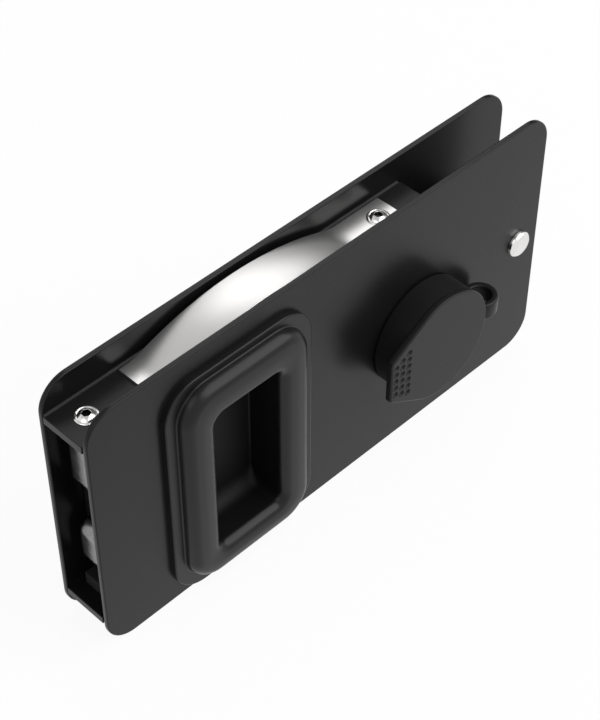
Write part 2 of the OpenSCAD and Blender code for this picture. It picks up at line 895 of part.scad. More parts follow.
module drum() {
    eye_y = -(drum_back + eye_r);
    difference() {
        union() {
            bar_y(turn_x, turn_z, drum_r, -turn_back, -drum_back);
            difference() {
                translate([turn_x + eye_x, eye_y, turn_z - eye_t / 2])
                    cylinder(r = eye_r, h = eye_t);
                bar_y(turn_x, turn_z, turn_r + slip, -turn_front - past, -turn_back);
            }
        }
        difference() {
            bar_y(turn_x, turn_z, drum_r - drum_wall, -turn_back + drum_face, 0);
            bar_y(turn_x, turn_z, hub_r, -turn_front, -drum_back);
        }
        bar_y(turn_x, turn_z, spindle_r, -spindle_half, 0);
        csk_cut(-turn_back);
        bar_y(turn_x + turn_coil_r, turn_z, wire_r + slip, -turn_coil_y1 - leg_l - end_room, -turn_coil_y1);
        translate([turn_x + eye_x, eye_y, turn_z - eye_t])
            cylinder(r = eye_bore, h = 2 * eye_t);
    }
}

// Countersunk hole through the drum's face
module csk_cut(y) {
    translate([turn_x, y, turn_z])
        rotate([-90, 0, 0]) {
            translate([0, 0, -past])
                cylinder(r = drum_screw_r + slip, h = 2 * drum_face + past);
            cylinder(r1 = drum_screw_head, r2 = drum_screw_r, h = drum_screw_head - drum_screw_r);
        }
}

module front_drum() {
    color([0.24, 0.24, 0.25])
        drum();
}

module rear_drum() {
    color([0.24, 0.24, 0.25])
        rear()
            drum();
}

module drum_screw() {
    head = drum_screw_head - drum_screw_r;
    translate([turn_x, -turn_back, turn_z])
        rotate([-90, 0, 0])
            difference() {
                union() {
                    cylinder(r1 = drum_screw_head, r2 = drum_screw_r, h = head);
                    cylinder(r = drum_screw_r, h = drum_screw_l);
                }
                translate([0, 0, -past])
                    cylinder(d = drum_hex / cos(30), h = drum_hex_depth + past, $fn = 6);
            }
}

module drum_screws() {
    color([0.6, 0.6, 0.62]) {
        drum_screw();
        rear()
            drum_screw();
    }
}

// Return spring round the front drum's hub, one leg in the plate and one in the drum
module return_spring() {
    color([0.7, 0.7, 0.72])
        translate([turn_x, 0, turn_z])
            spring_tube(return_path);
}

// Turn plates with the thumb tab

corner_z = (turn_r - tab_r - (tab_reach - tab_r) * sin(tab_slope)) / cos(tab_slope);

module turn_outline() {
    corner = [-tab_reach + tab_r, corner_z];
    out = [-sin(tab_slope), cos(tab_slope)];
    upper = [(turn_r - lap) * out, corner + (tab_r - lap) * out, [-tab_reach + lap, corner_z]];
    lower = [for (i = [2:-1:0]) [upper[i][0], -upper[i][1]]];
    translate([turn_x, turn_z]) {
        circle(r = turn_r);
        polygon(concat(upper, lower));
        for (s = [-1, 1])
            translate([corner[0], s * corner[1]])
                circle(r = tab_r);
    }
}

// Dimples stand in upright columns that grow with the tab
module dimples() {
    ball_r = (dimple_r * dimple_r + dimple_depth * dimple_depth) / (2 * dimple_depth);
    for (c = [0:dimple_cols - 1])
        for (i = [0:dimple_rows + c - 1])
            translate([turn_x - tab_reach + dimple_edge + c * dimple_pitch,
                       -turn_front - ball_r + dimple_depth,
                       turn_z + (i - (dimple_rows + c - 1) / 2) * dimple_pitch])
                sphere(r = ball_r, $fn = 24);
}

module turn_plate() {
    difference() {
        slab(-turn_front, -turn_back)
            turn_outline();
        dimples();
    }
}

module front_turn_plate() {
    color([0.27, 0.27, 0.28])
        turn_plate();
}

module rear_turn_plate() {
    color([0.27, 0.27, 0.28])
        rear()
            turn_plate();
}

// Finger pulls

// A section swept round a rounded rectangle, straight sides and quarter-round corners
module swept(w, h, r) {
    sx = w / 2 - r;
    sz = h / 2 - r;
    for (a = [0:90:270]) {
        upright = a % 180 == 0;
        half = upright ? sz : sx;
        reach = upright ? w / 2 : h / 2;
        rotate([0, a, 0])
            translate([reach, 0, -half])
                linear_extrude(2 * half)
                    mirror([0, 1])
                        children();
    }
    for (a = [0, 1], b = [0, 1])
        translate([a == 0 ? sx : -sx, 0, b == 0 ? sz : -sz])
            mirror([a, 0, 0])
                mirror([0, 0, b])
                    rotate([90, 0, 0])
                        rotate_extrude(angle = 90)
                            translate([r, 0])
                                children();
}

// Outer edge of the rim, standing on the plate
module outer_section() {
    low = rim_h - rim_ro;
    square([rim_ro, low]);
    translate([0, low])
        intersection() {
            circle(r = rim_ro);
            square(rim_ro);
        }
}

// Inner edge of the rim, at the finger opening
module inner_section() {
    low = rim_h - rim_ri;
    square([rim_ri, low]);
    translate([rim_ri, low])
        intersection() {
            circle(r = rim_ri);
            translate([-rim_ri, 0])
                square(rim_ri);
        }
}

module rim_ring() {
    crown_w = rim_out_w - 2 * rim_ro;
    crown_h = rim_out_h - 2 * rim_ro;
    translate([pull_x + rim_dx, -face_y, pull_z + rim_dz])
        swept(crown_w, crown_h, rim_r - rim_ro)
            outer_section();
    translate([pull_x, -face_y, pull_z])
        swept(pull_w, pull_h, pull_r)
            inner_section();
    slab(-face_y - rim_h, -face_y)
        difference() {
            round_rect(pull_x + rim_dx, pull_z + rim_dz, crown_w, crown_h, rim_r - rim_ro);
            round_rect(pull_x, pull_z, pull_w + 2 * rim_ri, pull_h + 2 * rim_ri, pull_r + rim_ri);
        }
}

module pull() {
    cup_w = pull_w + 2 * cup_wall;
    cup_h = pull_h + 2 * cup_wall;
    difference() {
        union() {
            slab(-face_y - flange_t, -face_y)
                round_rect(pull_x, pull_z + flange_dz, flange_w, flange_h, flange_r);
            rim_ring();
            slab(-face_y - flange_t, -cup_back)
                round_rect(pull_x, pull_z, cup_w, cup_h, pull_r + cup_wall);
        }
        slab(-face_y - rim_h - past, -cup_back - cup_wall)
            round_rect(pull_x, pull_z, pull_w, pull_h, pull_r);
    }
}

module front_pull() {
    color([0.25, 0.25, 0.26])
        pull();
}

module rear_pull() {
    color([0.25, 0.25, 0.26])
        rear()
            pull();
}

// Clamp bolt through the leaf

module clamp_head() {
    translate([clamp_x, -face_y, 0])
        rotate([90, 0, 0]) {
            cylinder(r = clamp_head_r, h = clamp_head_h - clamp_chamfer);
            translate([0, 0, clamp_head_h - clamp_chamfer])
                cylinder(r1 = clamp_head_r, r2 = clamp_head_r - clamp_chamfer, h = clamp_chamfer);
        }
}

module clamp_nut() {
    color([0.8, 0.8, 0.8])
        difference() {
            union() {
                clamp_head();
                bar_y(clamp_x, 0, barrel_r, -face_y, inner_y - clamp_short);
            }
            bar_y(clamp_x, 0, clamp_thread_r + slip, -inner_y + clamp_short - end_room, inner_y);
        }
}

module clamp_screw() {
    color([0.8, 0.8, 0.8])
        rear()
            difference() {
                union() {
                    clamp_head();
                    bar_y(clamp_x, 0, barrel_r, -face_y, -inner_y - shoulder_short);
                    bar_y(clamp_x, 0, clamp_thread_r, -face_y, inner_y - clamp_short);
                }
                translate([clamp_x, -face_y - clamp_head_h + clamp_hex_depth, 0])
                    rotate([90, 0, 0])
                        cylinder(d = clamp_hex / cos(30), h = clamp_hex_depth + past, $fn = 6);
            }
}

module clamp_spacer() {
    color([0.2, 0.2, 0.2])
        difference() {
            bar_y(clamp_x, 0, spacer_r, -inner_y, inner_y);
            bar_y(clamp_x, 0, barrel_r + slip, -inner_y - past, inner_y + past);
        }
}

// Countersunk screws from the rear

module csk_shape(x, z, grow) {
    head = csk_head_r - csk_r;
    translate([x, face_y, z])
        rotate([90, 0, 0]) {
            cylinder(r1 = csk_head_r + grow, r2 = csk_r + grow, h = head);
            cylinder(r = csk_r + grow, h = csk_l);
        }
}

module rear_plate_screws() {
    color([0.3, 0.3, 0.3])
        for (p = csk_places)
            difference() {
                csk_shape(p[0], p[1], 0);
                translate([p[0], face_y + past, p[1]])
                    rotate([90, 0, 0])
                        cylinder(d = csk_hex / cos(30), h = csk_hex_depth + past, $fn = 6);
            }
}

front_plate();
rear_plate();
case();
leaf_spring();
case_screws();
guide_block();
hook();
hook_pin();
front_cheek();
rear_cheek();
hook_spring();
hook_drive_pin();
hook_stop_pad();
transfer_bar();
guide_pins();
guide_spacers();
drive_cam();
crank_pin();
cam_cross_pin();
spindle();
front_bush();
rear_bush();
front_drum();
rear_drum();
front_turn_plate();
rear_turn_plate();
return_spring();
drum_screws();
front_pull();
rear_pull();
clamp_nut();
clamp_screw();
clamp_spacer();
rear_plate_screws();
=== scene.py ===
import math

import bpy
import bmesh
from mathutils import Matrix, Vector


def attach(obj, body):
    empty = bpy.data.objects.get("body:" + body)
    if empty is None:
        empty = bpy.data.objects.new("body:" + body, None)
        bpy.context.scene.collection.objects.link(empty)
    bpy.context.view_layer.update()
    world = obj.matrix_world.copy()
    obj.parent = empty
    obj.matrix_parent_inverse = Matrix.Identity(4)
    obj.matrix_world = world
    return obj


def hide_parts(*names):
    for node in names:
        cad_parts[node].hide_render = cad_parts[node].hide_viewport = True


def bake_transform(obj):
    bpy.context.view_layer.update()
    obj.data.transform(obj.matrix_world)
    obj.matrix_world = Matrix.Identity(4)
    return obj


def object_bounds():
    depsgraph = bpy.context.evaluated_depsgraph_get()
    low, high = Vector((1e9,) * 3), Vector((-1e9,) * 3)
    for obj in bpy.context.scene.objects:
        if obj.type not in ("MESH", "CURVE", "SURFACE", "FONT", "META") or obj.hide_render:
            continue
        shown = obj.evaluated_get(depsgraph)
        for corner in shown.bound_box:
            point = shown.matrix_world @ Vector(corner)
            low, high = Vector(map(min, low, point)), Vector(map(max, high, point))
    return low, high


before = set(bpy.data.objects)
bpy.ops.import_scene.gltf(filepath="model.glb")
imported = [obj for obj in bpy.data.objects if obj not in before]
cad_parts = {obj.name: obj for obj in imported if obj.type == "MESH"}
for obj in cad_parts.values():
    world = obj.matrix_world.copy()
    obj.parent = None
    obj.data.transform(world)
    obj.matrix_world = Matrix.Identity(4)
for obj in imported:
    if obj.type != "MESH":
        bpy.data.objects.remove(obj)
cadBox = [list(corner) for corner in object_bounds()]
scene = bpy.context.scene
print("frame loaded:", len(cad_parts), "nodes")

mm = 0.001   # sizes and places of the pieces are in mm, those of camera, floor and lamps in metres


# shader maths

class Signal:
    # a socket that can be added, multiplied and so on
    def __init__(self, shader, socket):
        self.shader = shader
        self.socket = socket

    def combine(self, operation, first, second):
        node = self.shader.add("ShaderNodeMath", {"operation": operation}, {0: first, 1: second})
        return Signal(self.shader, node.outputs[0])

    def __add__(self, other):
        return self.combine("ADD", self, other)

    __radd__ = __add__

    def __sub__(self, other):
        return self.combine("SUBTRACT", self, other)

    def __rsub__(self, other):
        return self.combine("SUBTRACT", other, self)

    def __mul__(self, other):
        return self.combine("MULTIPLY", self, other)

    def around(self, amount):
        # a noise of 0 to 1, as that amount about zero
        return (self - 0.5) * amount

    def clamped(self):
        node = self.shader.add("ShaderNodeClamp", {}, {0: self, 1: 0.0, 2: 1.0})
        return Signal(self.shader, node.outputs[0])

    def ramped(self, low, high):
        # eased from 0 at low to 1 at high
        node = self.shader.add("ShaderNodeMapRange", {"interpolation_type": "SMOOTHSTEP"},
                               {0: self, 1: low, 2: high, 3: 0.0, 4: 1.0})
        return Signal(self.shader, node.outputs[0])


patches = (0.3, 0.7)   # the part of a noise that is eased into patches
edgeFinding = {"samples": 6, "flat": 0.02, "sharp": 0.25}   # how far the rounded normal leans on an edge that is painted paler, as scuffing and as a painted highlight


def grey(value, warm=0.0):
    return (value * (1 + warm), value, value * (1 - warm), 1.0)


class Shader:
    # the node tree of a material or of the sky, with a single way of adding nodes
    def __init__(self, owner):
        self.owner = owner
        owner.use_nodes = True
        self.tree = owner.node_tree
        self.tree.nodes.clear()
        self.coordinates = self.add("ShaderNodeTexCoord")

    def add(self, kind, settings={}, inputs={}):
        node = self.tree.nodes.new(kind)
        for key, value in settings.items():
            setattr(node, key, value)
        for key, value in inputs.items():
            socket = node.inputs[key]
            if isinstance(value, Signal):
                value = value.socket
            if isinstance(value, bpy.types.NodeSocket):
                self.tree.links.new(value, socket)
            else:
                socket.default_value = value
        return node

    def noise(self, scale, detail=3.0, roughness=0.5, stretch=None):
        where = self.coordinates.outputs["Object"]
        if stretch:
            where = self.add("ShaderNodeMapping", {}, {"Vector": where, "Scale": stretch}).outputs[0]
        node = self.add("ShaderNodeTexNoise", {},
                        {"Vector": where, "Scale": scale, "Detail": detail, "Roughness": roughness})
        return Signal(self, node.outputs[0])

    def dot(self, first, second):
        node = self.add("ShaderNodeVectorMath", {"operation": "DOT_PRODUCT"}, {0: first, 1: second})
        return Signal(self, node.outputs["Value"])

    def rounded(self, radius):
        # the normal as it would be on edges of that radius
        node = self.add("ShaderNodeBevel", {"samples": edgeFinding["samples"]}, {"Radius": radius * mm})
        return node.outputs[0]

    def edges(self, radius):
        # 0 on flat faces, rising to 1 on edges
        sharp = self.add("ShaderNodeNewGeometry").outputs["True Normal"]
        return (1.0 - self.dot(self.rounded(radius), sharp)).ramped(edgeFinding["flat"], edgeFinding["sharp"])

    def recess(self):
        # the mesh says where the inside of a socket or cup is, whose colour is darkened there as painted
        # shade
        return Signal(self, self.add("ShaderNodeAttribute", {"attribute_name": "recess"}).outputs["Fac"])

    def blend(self, factor, first, second):
        node = self.add("ShaderNodeMix", {"data_type": "RGBA"}, {0: factor, 6: first, 7: second})
        return node.outputs[2]

    def mottled(self, noise, colour, tint, warm=0.0, spread=patches):
        # one grey in patches, from the darker to the paler share of it
        darker, paler = (grey(colour * share, warm) for share in tint)
        return self.blend(noise.ramped(*spread), darker, paler)

    def bumped(self, height, strength, distance, radius=0.0):
        inputs = {"Height": height, "Strength": strength, "Distance": distance * mm}
        if radius:
            inputs["Normal"] = self.rounded(radius)
        return self.add("ShaderNodeBump", {}, inputs).outputs[0]

    def finish(self, inputs, factor=None, changed={}):
        # where the factor is 1, the surface has the changed inputs
        surface = self.add("ShaderNodeBsdfPrincipled", {}, inputs)
        if factor:
            other = self.add("ShaderNodeBsdfPrincipled", {}, {**inputs, **changed})
            surface = self.add("ShaderNodeMixShader", {},
                               {0: factor, 1: surface.outputs[0], 2: other.outputs[0]})
        self.add("ShaderNodeOutputMaterial", {}, {"Surface": surface.outputs[0]})
        return self.owner


# finishes: a noise is given by its scale, detail and roughness, a tint by its darker and paler share

powder = {"cloud": (38.0, 4.0), "wearAndHighlightScale": 160.0, "grainDetail": (2.0, 0.6), "tint": (0.88, 1.12),
          "cloudRough": 0.08, "grainRough": 0.1, "rubSmooth": 0.1, "peelHigh": 0.02}


def powderCoat(name, look):
    # matt black coat: fine orange peel, slightly paler and smoother where edges are rubbed
    shader = Shader(bpy.data.materials.new(name))
    cloud = shader.noise(*powder["cloud"])
    grain = shader.noise(look["grain"], *powder["grainDetail"])
    wearAndHighlight = (shader.edges(look["edge"]) * shader.noise(powder["wearAndHighlightScale"]).ramped(*patches)).clamped()
    base = shader.mottled(cloud, look["colour"], powder["tint"])
    base = shader.blend((wearAndHighlight * look["wearAndHighlightShare"]).clamped(), base, grey(look["wearAndHighlightColour"]))
    rough = look["roughness"] + cloud.around(powder["cloudRough"]) + grain.around(powder["grainRough"])
    rough = rough - wearAndHighlight * powder["rubSmooth"]
    cup, matte = None, {}
    if "recess" in look:   # painted shade: darker deep inside the finger cup, which is also rougher and duller there
        cup, matte = shader.recess(), {"Specular IOR Level": look["recessGloss"]}
        base = shader.blend(cup, base, grey(look["recess"]))
        rough = rough + cup * look["recessRough"]
    normal = shader.bumped(grain, look["peel"], powder["peelHigh"], look.get("soften", 0.0))
    return shader.finish({"Base Color": base, "Roughness": rough, "Specular IOR Level": look["gloss"],
                          "Normal": normal}, cup, matte)


# the edge share and scale below paint every edge paler: a painted highlight
brushing = {"lineDetail": (3.0, 0.6), "tint": (0.9, 1.0), "warm": 0.01, "spread": (0.25, 0.75),
            "wearAndHighlight": 0.5, "wearAndHighlightScale": 1.15, "cloudRough": 0.1, "lineHigh": 0.01}


def brushedMetal(name, look):
    # rolled or ground metal with fine lines along one direction
    shader = Shader(bpy.data.materials.new(name))
    lines = shader.noise(1.0, *brushing["lineDetail"], look["lines"])
    cloud = shader.noise(look["cloud"])
    wearAndHighlight = shader.edges(look["edge"])
    base = shader.mottled(cloud, look["colour"], brushing["tint"], brushing["warm"], brushing["spread"])
    # every edge is painted paler: a painted highlight
    bright = grey(min(1.0, look["colour"] * brushing["wearAndHighlightScale"]))
    base = shader.blend((wearAndHighlight * brushing["wearAndHighlight"]).clamped(), base, bright)
    # the inside of the hex socket is painted near black: painted shade
    if "socket" in look:
        base = shader.blend(shader.recess(), base, grey(look["socket"]))
    rough = look["roughness"] + lines.around(look["streak"]) + cloud.around(brushing["cloudRough"])
    normal = shader.bumped(lines, look["depth"], brushing["lineHigh"], look.get("soften", 0.0))
    return shader.finish({"Base Color": base, "Metallic": 1.0, "Roughness": rough.clamped(),
                          "Normal": normal})


casting = {"mottle": (420.0, 4.0, 0.6), "pits": (2600.0, 2.0), "tint": (0.82, 1.08),
           "mottleRough": 0.12, "rubSmooth": 0.04, "pitDepth": 0.35, "pitHigh": 0.03}


def castMetal(name, look):
    # die-cast zinc: mottled, pitted, with rounded edges painted far paler, partly as scuffing and partly as a
    # painted highlight
    shader = Shader(bpy.data.materials.new(name))
    mottle = shader.noise(*casting["mottle"])
    pits = shader.noise(*casting["pits"])
    wearAndHighlight = shader.edges(look["edge"])
    base = shader.mottled(mottle, look["colour"], casting["tint"])
    # edges painted far paler: partly scuffing, partly a painted highlight
    base = shader.blend((wearAndHighlight * look["wearAndHighlightShare"]).clamped(), base, grey(look["wearAndHighlightColour"]))
    rough = look["roughness"] + mottle.around(casting["mottleRough"]) - wearAndHighlight * casting["rubSmooth"]
    normal = shader.bumped(pits, casting["pitDepth"], casting["pitHigh"], look["soften"])
    return shader.finish({"Base Color": base, "Metallic": 1.0, "Roughness": rough.clamped(),
                          "Normal": normal})


moulding = {"grain": (3200.0, 2.0), "cloud": 120.0, "tint": (0.9, 1.1),
            "grainRough": 0.12, "grainDepth": 0.25, "grainHigh": 0.02}


def moulded(name, look):
    # plastic or rubber, finely matt
    shader = Shader(bpy.data.materials.new(name))
    grain = shader.noise(*moulding["grain"])
    base = shader.mottled(shader.noise(moulding["cloud"]), look["colour"], moulding["tint"])
    rough = look["roughness"] + grain.around(moulding["grainRough"])
    normal = shader.bumped(grain, moulding["grainDepth"], moulding["grainHigh"], look["soften"])
    return shader.finish({"Base Color": base, "Roughness": rough, "Specular IOR Level": look["gloss"],
                          "Normal": normal})


coats = {
    "plate": {"colour": 0.006, "roughness": 0.3, "gloss": 0.2, "grain": 3200.0, "peel": 0.12,
              "edge": 0.7, "wearAndHighlightShare": 0.35, "wearAndHighlightColour": 0.06},
    "case": {"colour": 0.006, "roughness": 0.36, "gloss": 0.25, "grain": 3000.0, "peel": 0.16,
             "edge": 0.5, "wearAndHighlightShare": 0.35, "wearAndHighlightColour": 0.05, "soften": 0.35},
    # the pull's darkest value is the colour of painted shade deep inside its cup
    "pull": {"colour": 0.006, "roughness": 0.3, "gloss": 0.24, "grain": 2600.0, "peel": 0.1,
             "edge": 0.8, "wearAndHighlightShare": 0.18, "wearAndHighlightColour": 0.04, "recess": 0.004, "recessRough": 0.2,
             "recessGloss": 0.13},
    "turn": {"colour": 0.008, "roughness": 0.4, "gloss": 0.2, "grain": 2600.0, "peel": 0.1,
             "edge": 0.6, "wearAndHighlightShare": 0.25, "wearAndHighlightColour": 0.05},
}
plateCoat = powderCoat("plateCoat", coats["plate"])
caseCoat = powderCoat("caseCoat", coats["case"])
pullCoat = powderCoat("pullCoat", coats["pull"])
turnCoat = powderCoat("turnCoat", coats["turn"])

metals = {
    "strip": {"colour": 0.66, "roughness": 0.36, "lines": (60.0, 5200.0, 5200.0), "streak": 0.1,
              "cloud": 40.0, "edge": 0.3, "depth": 0.06},
    # the screw's socket value is the near-black colour of painted shade in its hex socket
    "screw": {"colour": 0.8, "roughness": 0.2, "lines": (900.0, 900.0, 900.0), "streak": 0.1,
              "cloud": 300.0, "edge": 0.2, "depth": 0.05, "socket": 0.01},
    "blackScrew": {"colour": 0.09, "roughness": 0.4, "lines": (900.0, 900.0, 900.0), "streak": 0.1,
                   "cloud": 300.0, "edge": 0.2, "depth": 0.05},
    "ground": {"colour": 0.66, "roughness": 0.28, "lines": (2600.0, 200.0, 2600.0), "streak": 0.12,
               "cloud": 200.0, "edge": 0.2, "depth": 0.08, "soften": 0.2},
    "pressed": {"colour": 0.55, "roughness": 0.42, "lines": (120.0, 3200.0, 3200.0), "streak": 0.16,
                "cloud": 90.0, "edge": 0.3, "depth": 0.12, "soften": 0.25},
    "wire": {"colour": 0.58, "roughness": 0.35, "lines": (2000.0, 2000.0, 2000.0), "streak": 0.1,
             "cloud": 400.0, "edge": 0.1, "depth": 0.08},
}
stripSteel = brushedMetal("stripSteel", metals["strip"])
screwSteel = brushedMetal("screwSteel", metals["screw"])
blackSteel = brushedMetal("blackSteel", metals["blackScrew"])
groundSteel = brushedMetal("groundSteel", metals["ground"])
pressedSteel = brushedMetal("pressedSteel", metals["pressed"])
wireSteel = brushedMetal("wireSteel", metals["wire"])

# the edge colour is far paler than the zinc: partly scuffing, partly a painted highlight
castings = {"colour": 0.24, "roughness": 0.2, "edge": 0.9, "soften": 0.9, "wearAndHighlightShare": 1.0, "wearAndHighlightColour": 0.6}
zincCasting = castMetal("zincCasting", castings)

mouldings = {
    "bearing": {"colour": 0.03, "roughness": 0.45, "gloss": 0.4, "soften": 0.2},
    "stop": {"colour": 0.012, "roughness": 0.8, "gloss": 0.25, "soften": 0.5},
}
bearingPlastic = moulded("bearingPlastic", mouldings["bearing"])
stopRubber = moulded("stopRubber", mouldings["stop"])
print("materials made")


# mesh helpers

shading = {"weld": 1e-7, "flat": 0.99999}   # metres between points that are one, and how far a side faces Y


def newPiece(mesh, name, material):
    piece = bpy.data.objects.new(name, mesh)
    scene.collection.objects.link(piece)
    mesh.materials.clear()
    mesh.materials.append(material)
    return piece


def place(mesh, name, material, body, replaced=()):
    piece = newPiece(mesh, name, material)
    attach(piece, body)
    if replaced:
        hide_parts(*replaced)


def smoothed(mesh, angle=35.0, sheet=False):
    # smooth shading, with an edge kept sharp where its faces turn by more than the angle,
    # and the sides of a sheet that face along Y left flat
    work = bmesh.new()
    work.from_mesh(mesh)
    bmesh.ops.remove_doubles(work, verts=work.verts, dist=shading["weld"])
    for face in work.faces:
        face.smooth = not (sheet and abs(face.normal.y) > shading["flat"])
    for edge in work.edges:
        if len(edge.link_faces) == 2:
            edge.smooth = edge.calc_face_angle(0.0) < math.radians(angle)
    work.to_mesh(mesh)
    work.free()
    return mesh


def outward(mesh):
    work = bmesh.new()
    work.from_mesh(mesh)
    bmesh.ops.remove_doubles(work, verts=work.verts, dist=shading["weld"])
    bmesh.ops.recalc_face_normals(work, faces=work.faces)
    work.to_mesh(mesh)
    work.free()
    return mesh


def arc(cx, cy, r, start, end, steps=6):
    # points of a round stretch, from one angle to the other
    return [(cx + r * math.cos(math.radians(start + (end - start) * i / steps)),
             cy + r * math.sin(math.radians(start + (end - start) * i / steps))) for i in range(steps + 1)]


def quarter(steps):
    # sine and cosine over a quarter turn
    return [(math.sin(math.pi / 2 * i / steps), math.cos(math.pi / 2 * i / steps)) for i in range(steps + 1)]


def ringPoints(cx, cz, w, h, r, steps=10):
    # a rounded rectangle in X and Z
    points = []
    for k, (sx, sz) in enumerate(((1, 1), (-1, 1), (-1, -1), (1, -1))):
        points += arc(cx + sx * (w / 2 - r), cz + sz * (h / 2 - r), r, 90 * k, 90 * (k + 1), steps)
    return points


def circlePoints(cx, cz, r, steps=64):
    return arc(cx, cz, r, 0, 360, steps)[:-1]


def sheetMesh(name, outlines, yLow, yHigh, edge, steps=3):
    # flat outlines with holes, given a thickness along Y and rounded edges
    curve = bpy.data.curves.new(name, "CURVE")
    curve.dimensions = "2D"
    curve.fill_mode = "BOTH"
    for outline in outlines:
        spline = curve.splines.new("POLY")
        spline.points.add(len(outline) - 1)
        for point, (x, z) in zip(spline.points, outline):
            point.co = (x * mm, z * mm, 0, 1)
        spline.use_cyclic_u = True
    curve.extrude = (yHigh - yLow) / 2 * mm - edge * mm
    curve.bevel_depth = edge * mm
    curve.bevel_resolution = steps
    curve.offset = -edge * mm
    holder = bpy.data.objects.new(name, curve)
    scene.collection.objects.link(holder)
    bpy.context.view_layer.update()
    mesh = bpy.data.meshes.new_from_object(holder.evaluated_get(bpy.context.evaluated_depsgraph_get()))
    bpy.data.objects.remove(holder)
    mesh.name = name
    mesh.transform(Matrix.Rotation(math.radians(90), 4, "X"))
    mesh.transform(Matrix.Translation((0, (yLow + yHigh) / 2 * mm, 0)))
    return smoothed(outward(mesh), angle=40, sheet=True)


def latheMesh(name, profile, steps=96, closed=True):
    # a profile of (radius, height) turned about Z
    work = bmesh.new()
    rings = []
    for r, h in profile:
        if r == 0:
            rings.append([work.verts.new((0, 0, h * mm))])
        else:
            rings.append([work.verts.new((r * mm * math.cos(2 * math.pi * i / steps),
                                          r * mm * math.sin(2 * math.pi * i / steps), h * mm))
                          for i in range(steps)])
    pairs = list(zip(rings, rings[1:]))
    if closed:
        pairs.append((rings[-1], rings[0]))
    for low, high in pairs:
        for i in range(steps):
            j = (i + 1) % steps
            corners = [low[i % len(low)], low[j % len(low)], high[j % len(high)], high[i % len(high)]]
            work.faces.new(list(dict.fromkeys(corners)))
    bmesh.ops.recalc_face_normals(work, faces=work.faces)
    mesh = bpy.data.meshes.new(name)
    work.to_mesh(mesh)
    work.free()
    return smoothed(mesh)


def loftMesh(name, rings):
    # closed rings of the same number of points, joined one after another, ends capped
    work = bmesh.new()
    loops = [[work.verts.new(Vector(p) * mm) for p in ring] for ring in rings]
    for low, high in zip(loops, loops[1:]):
        for i in range(len(low)):
            j = (i + 1) % len(low)
            work.faces.new((low[i], low[j], high[j], high[i]))
    work.faces.new(loops[0])
    work.faces.new(loops[-1])
    bmesh.ops.recalc_face_normals(work, faces=work.faces)
    mesh = bpy.data.meshes.new(name)
    work.to_mesh(mesh)
    work.free()
    return smoothed(mesh)


def joined(name, meshes):
    work = bmesh.new()
    for mesh in meshes:
        work.from_mesh(mesh)
    mesh = bpy.data.meshes.new(name)
    work.to_mesh(mesh)
    work.free()
    return smoothed(mesh)


def flipped(mesh):
    # the same shape on the rear side
    other = mesh.copy()
    other.transform(Matrix.Scale(-1, 4, (0, 1, 0)))
    other.flip_normals()
    return other


def alongY(mesh, x, y, z, front=True):
    # a lathe's Z axis laid along Y: its top faces the front, or the rear
    mesh.transform(Matrix.Rotation(math.radians(90 if front else -90), 4, "X"))
    mesh.transform(Matrix.Translation((x * mm, y * mm, z * mm)))
    return mesh


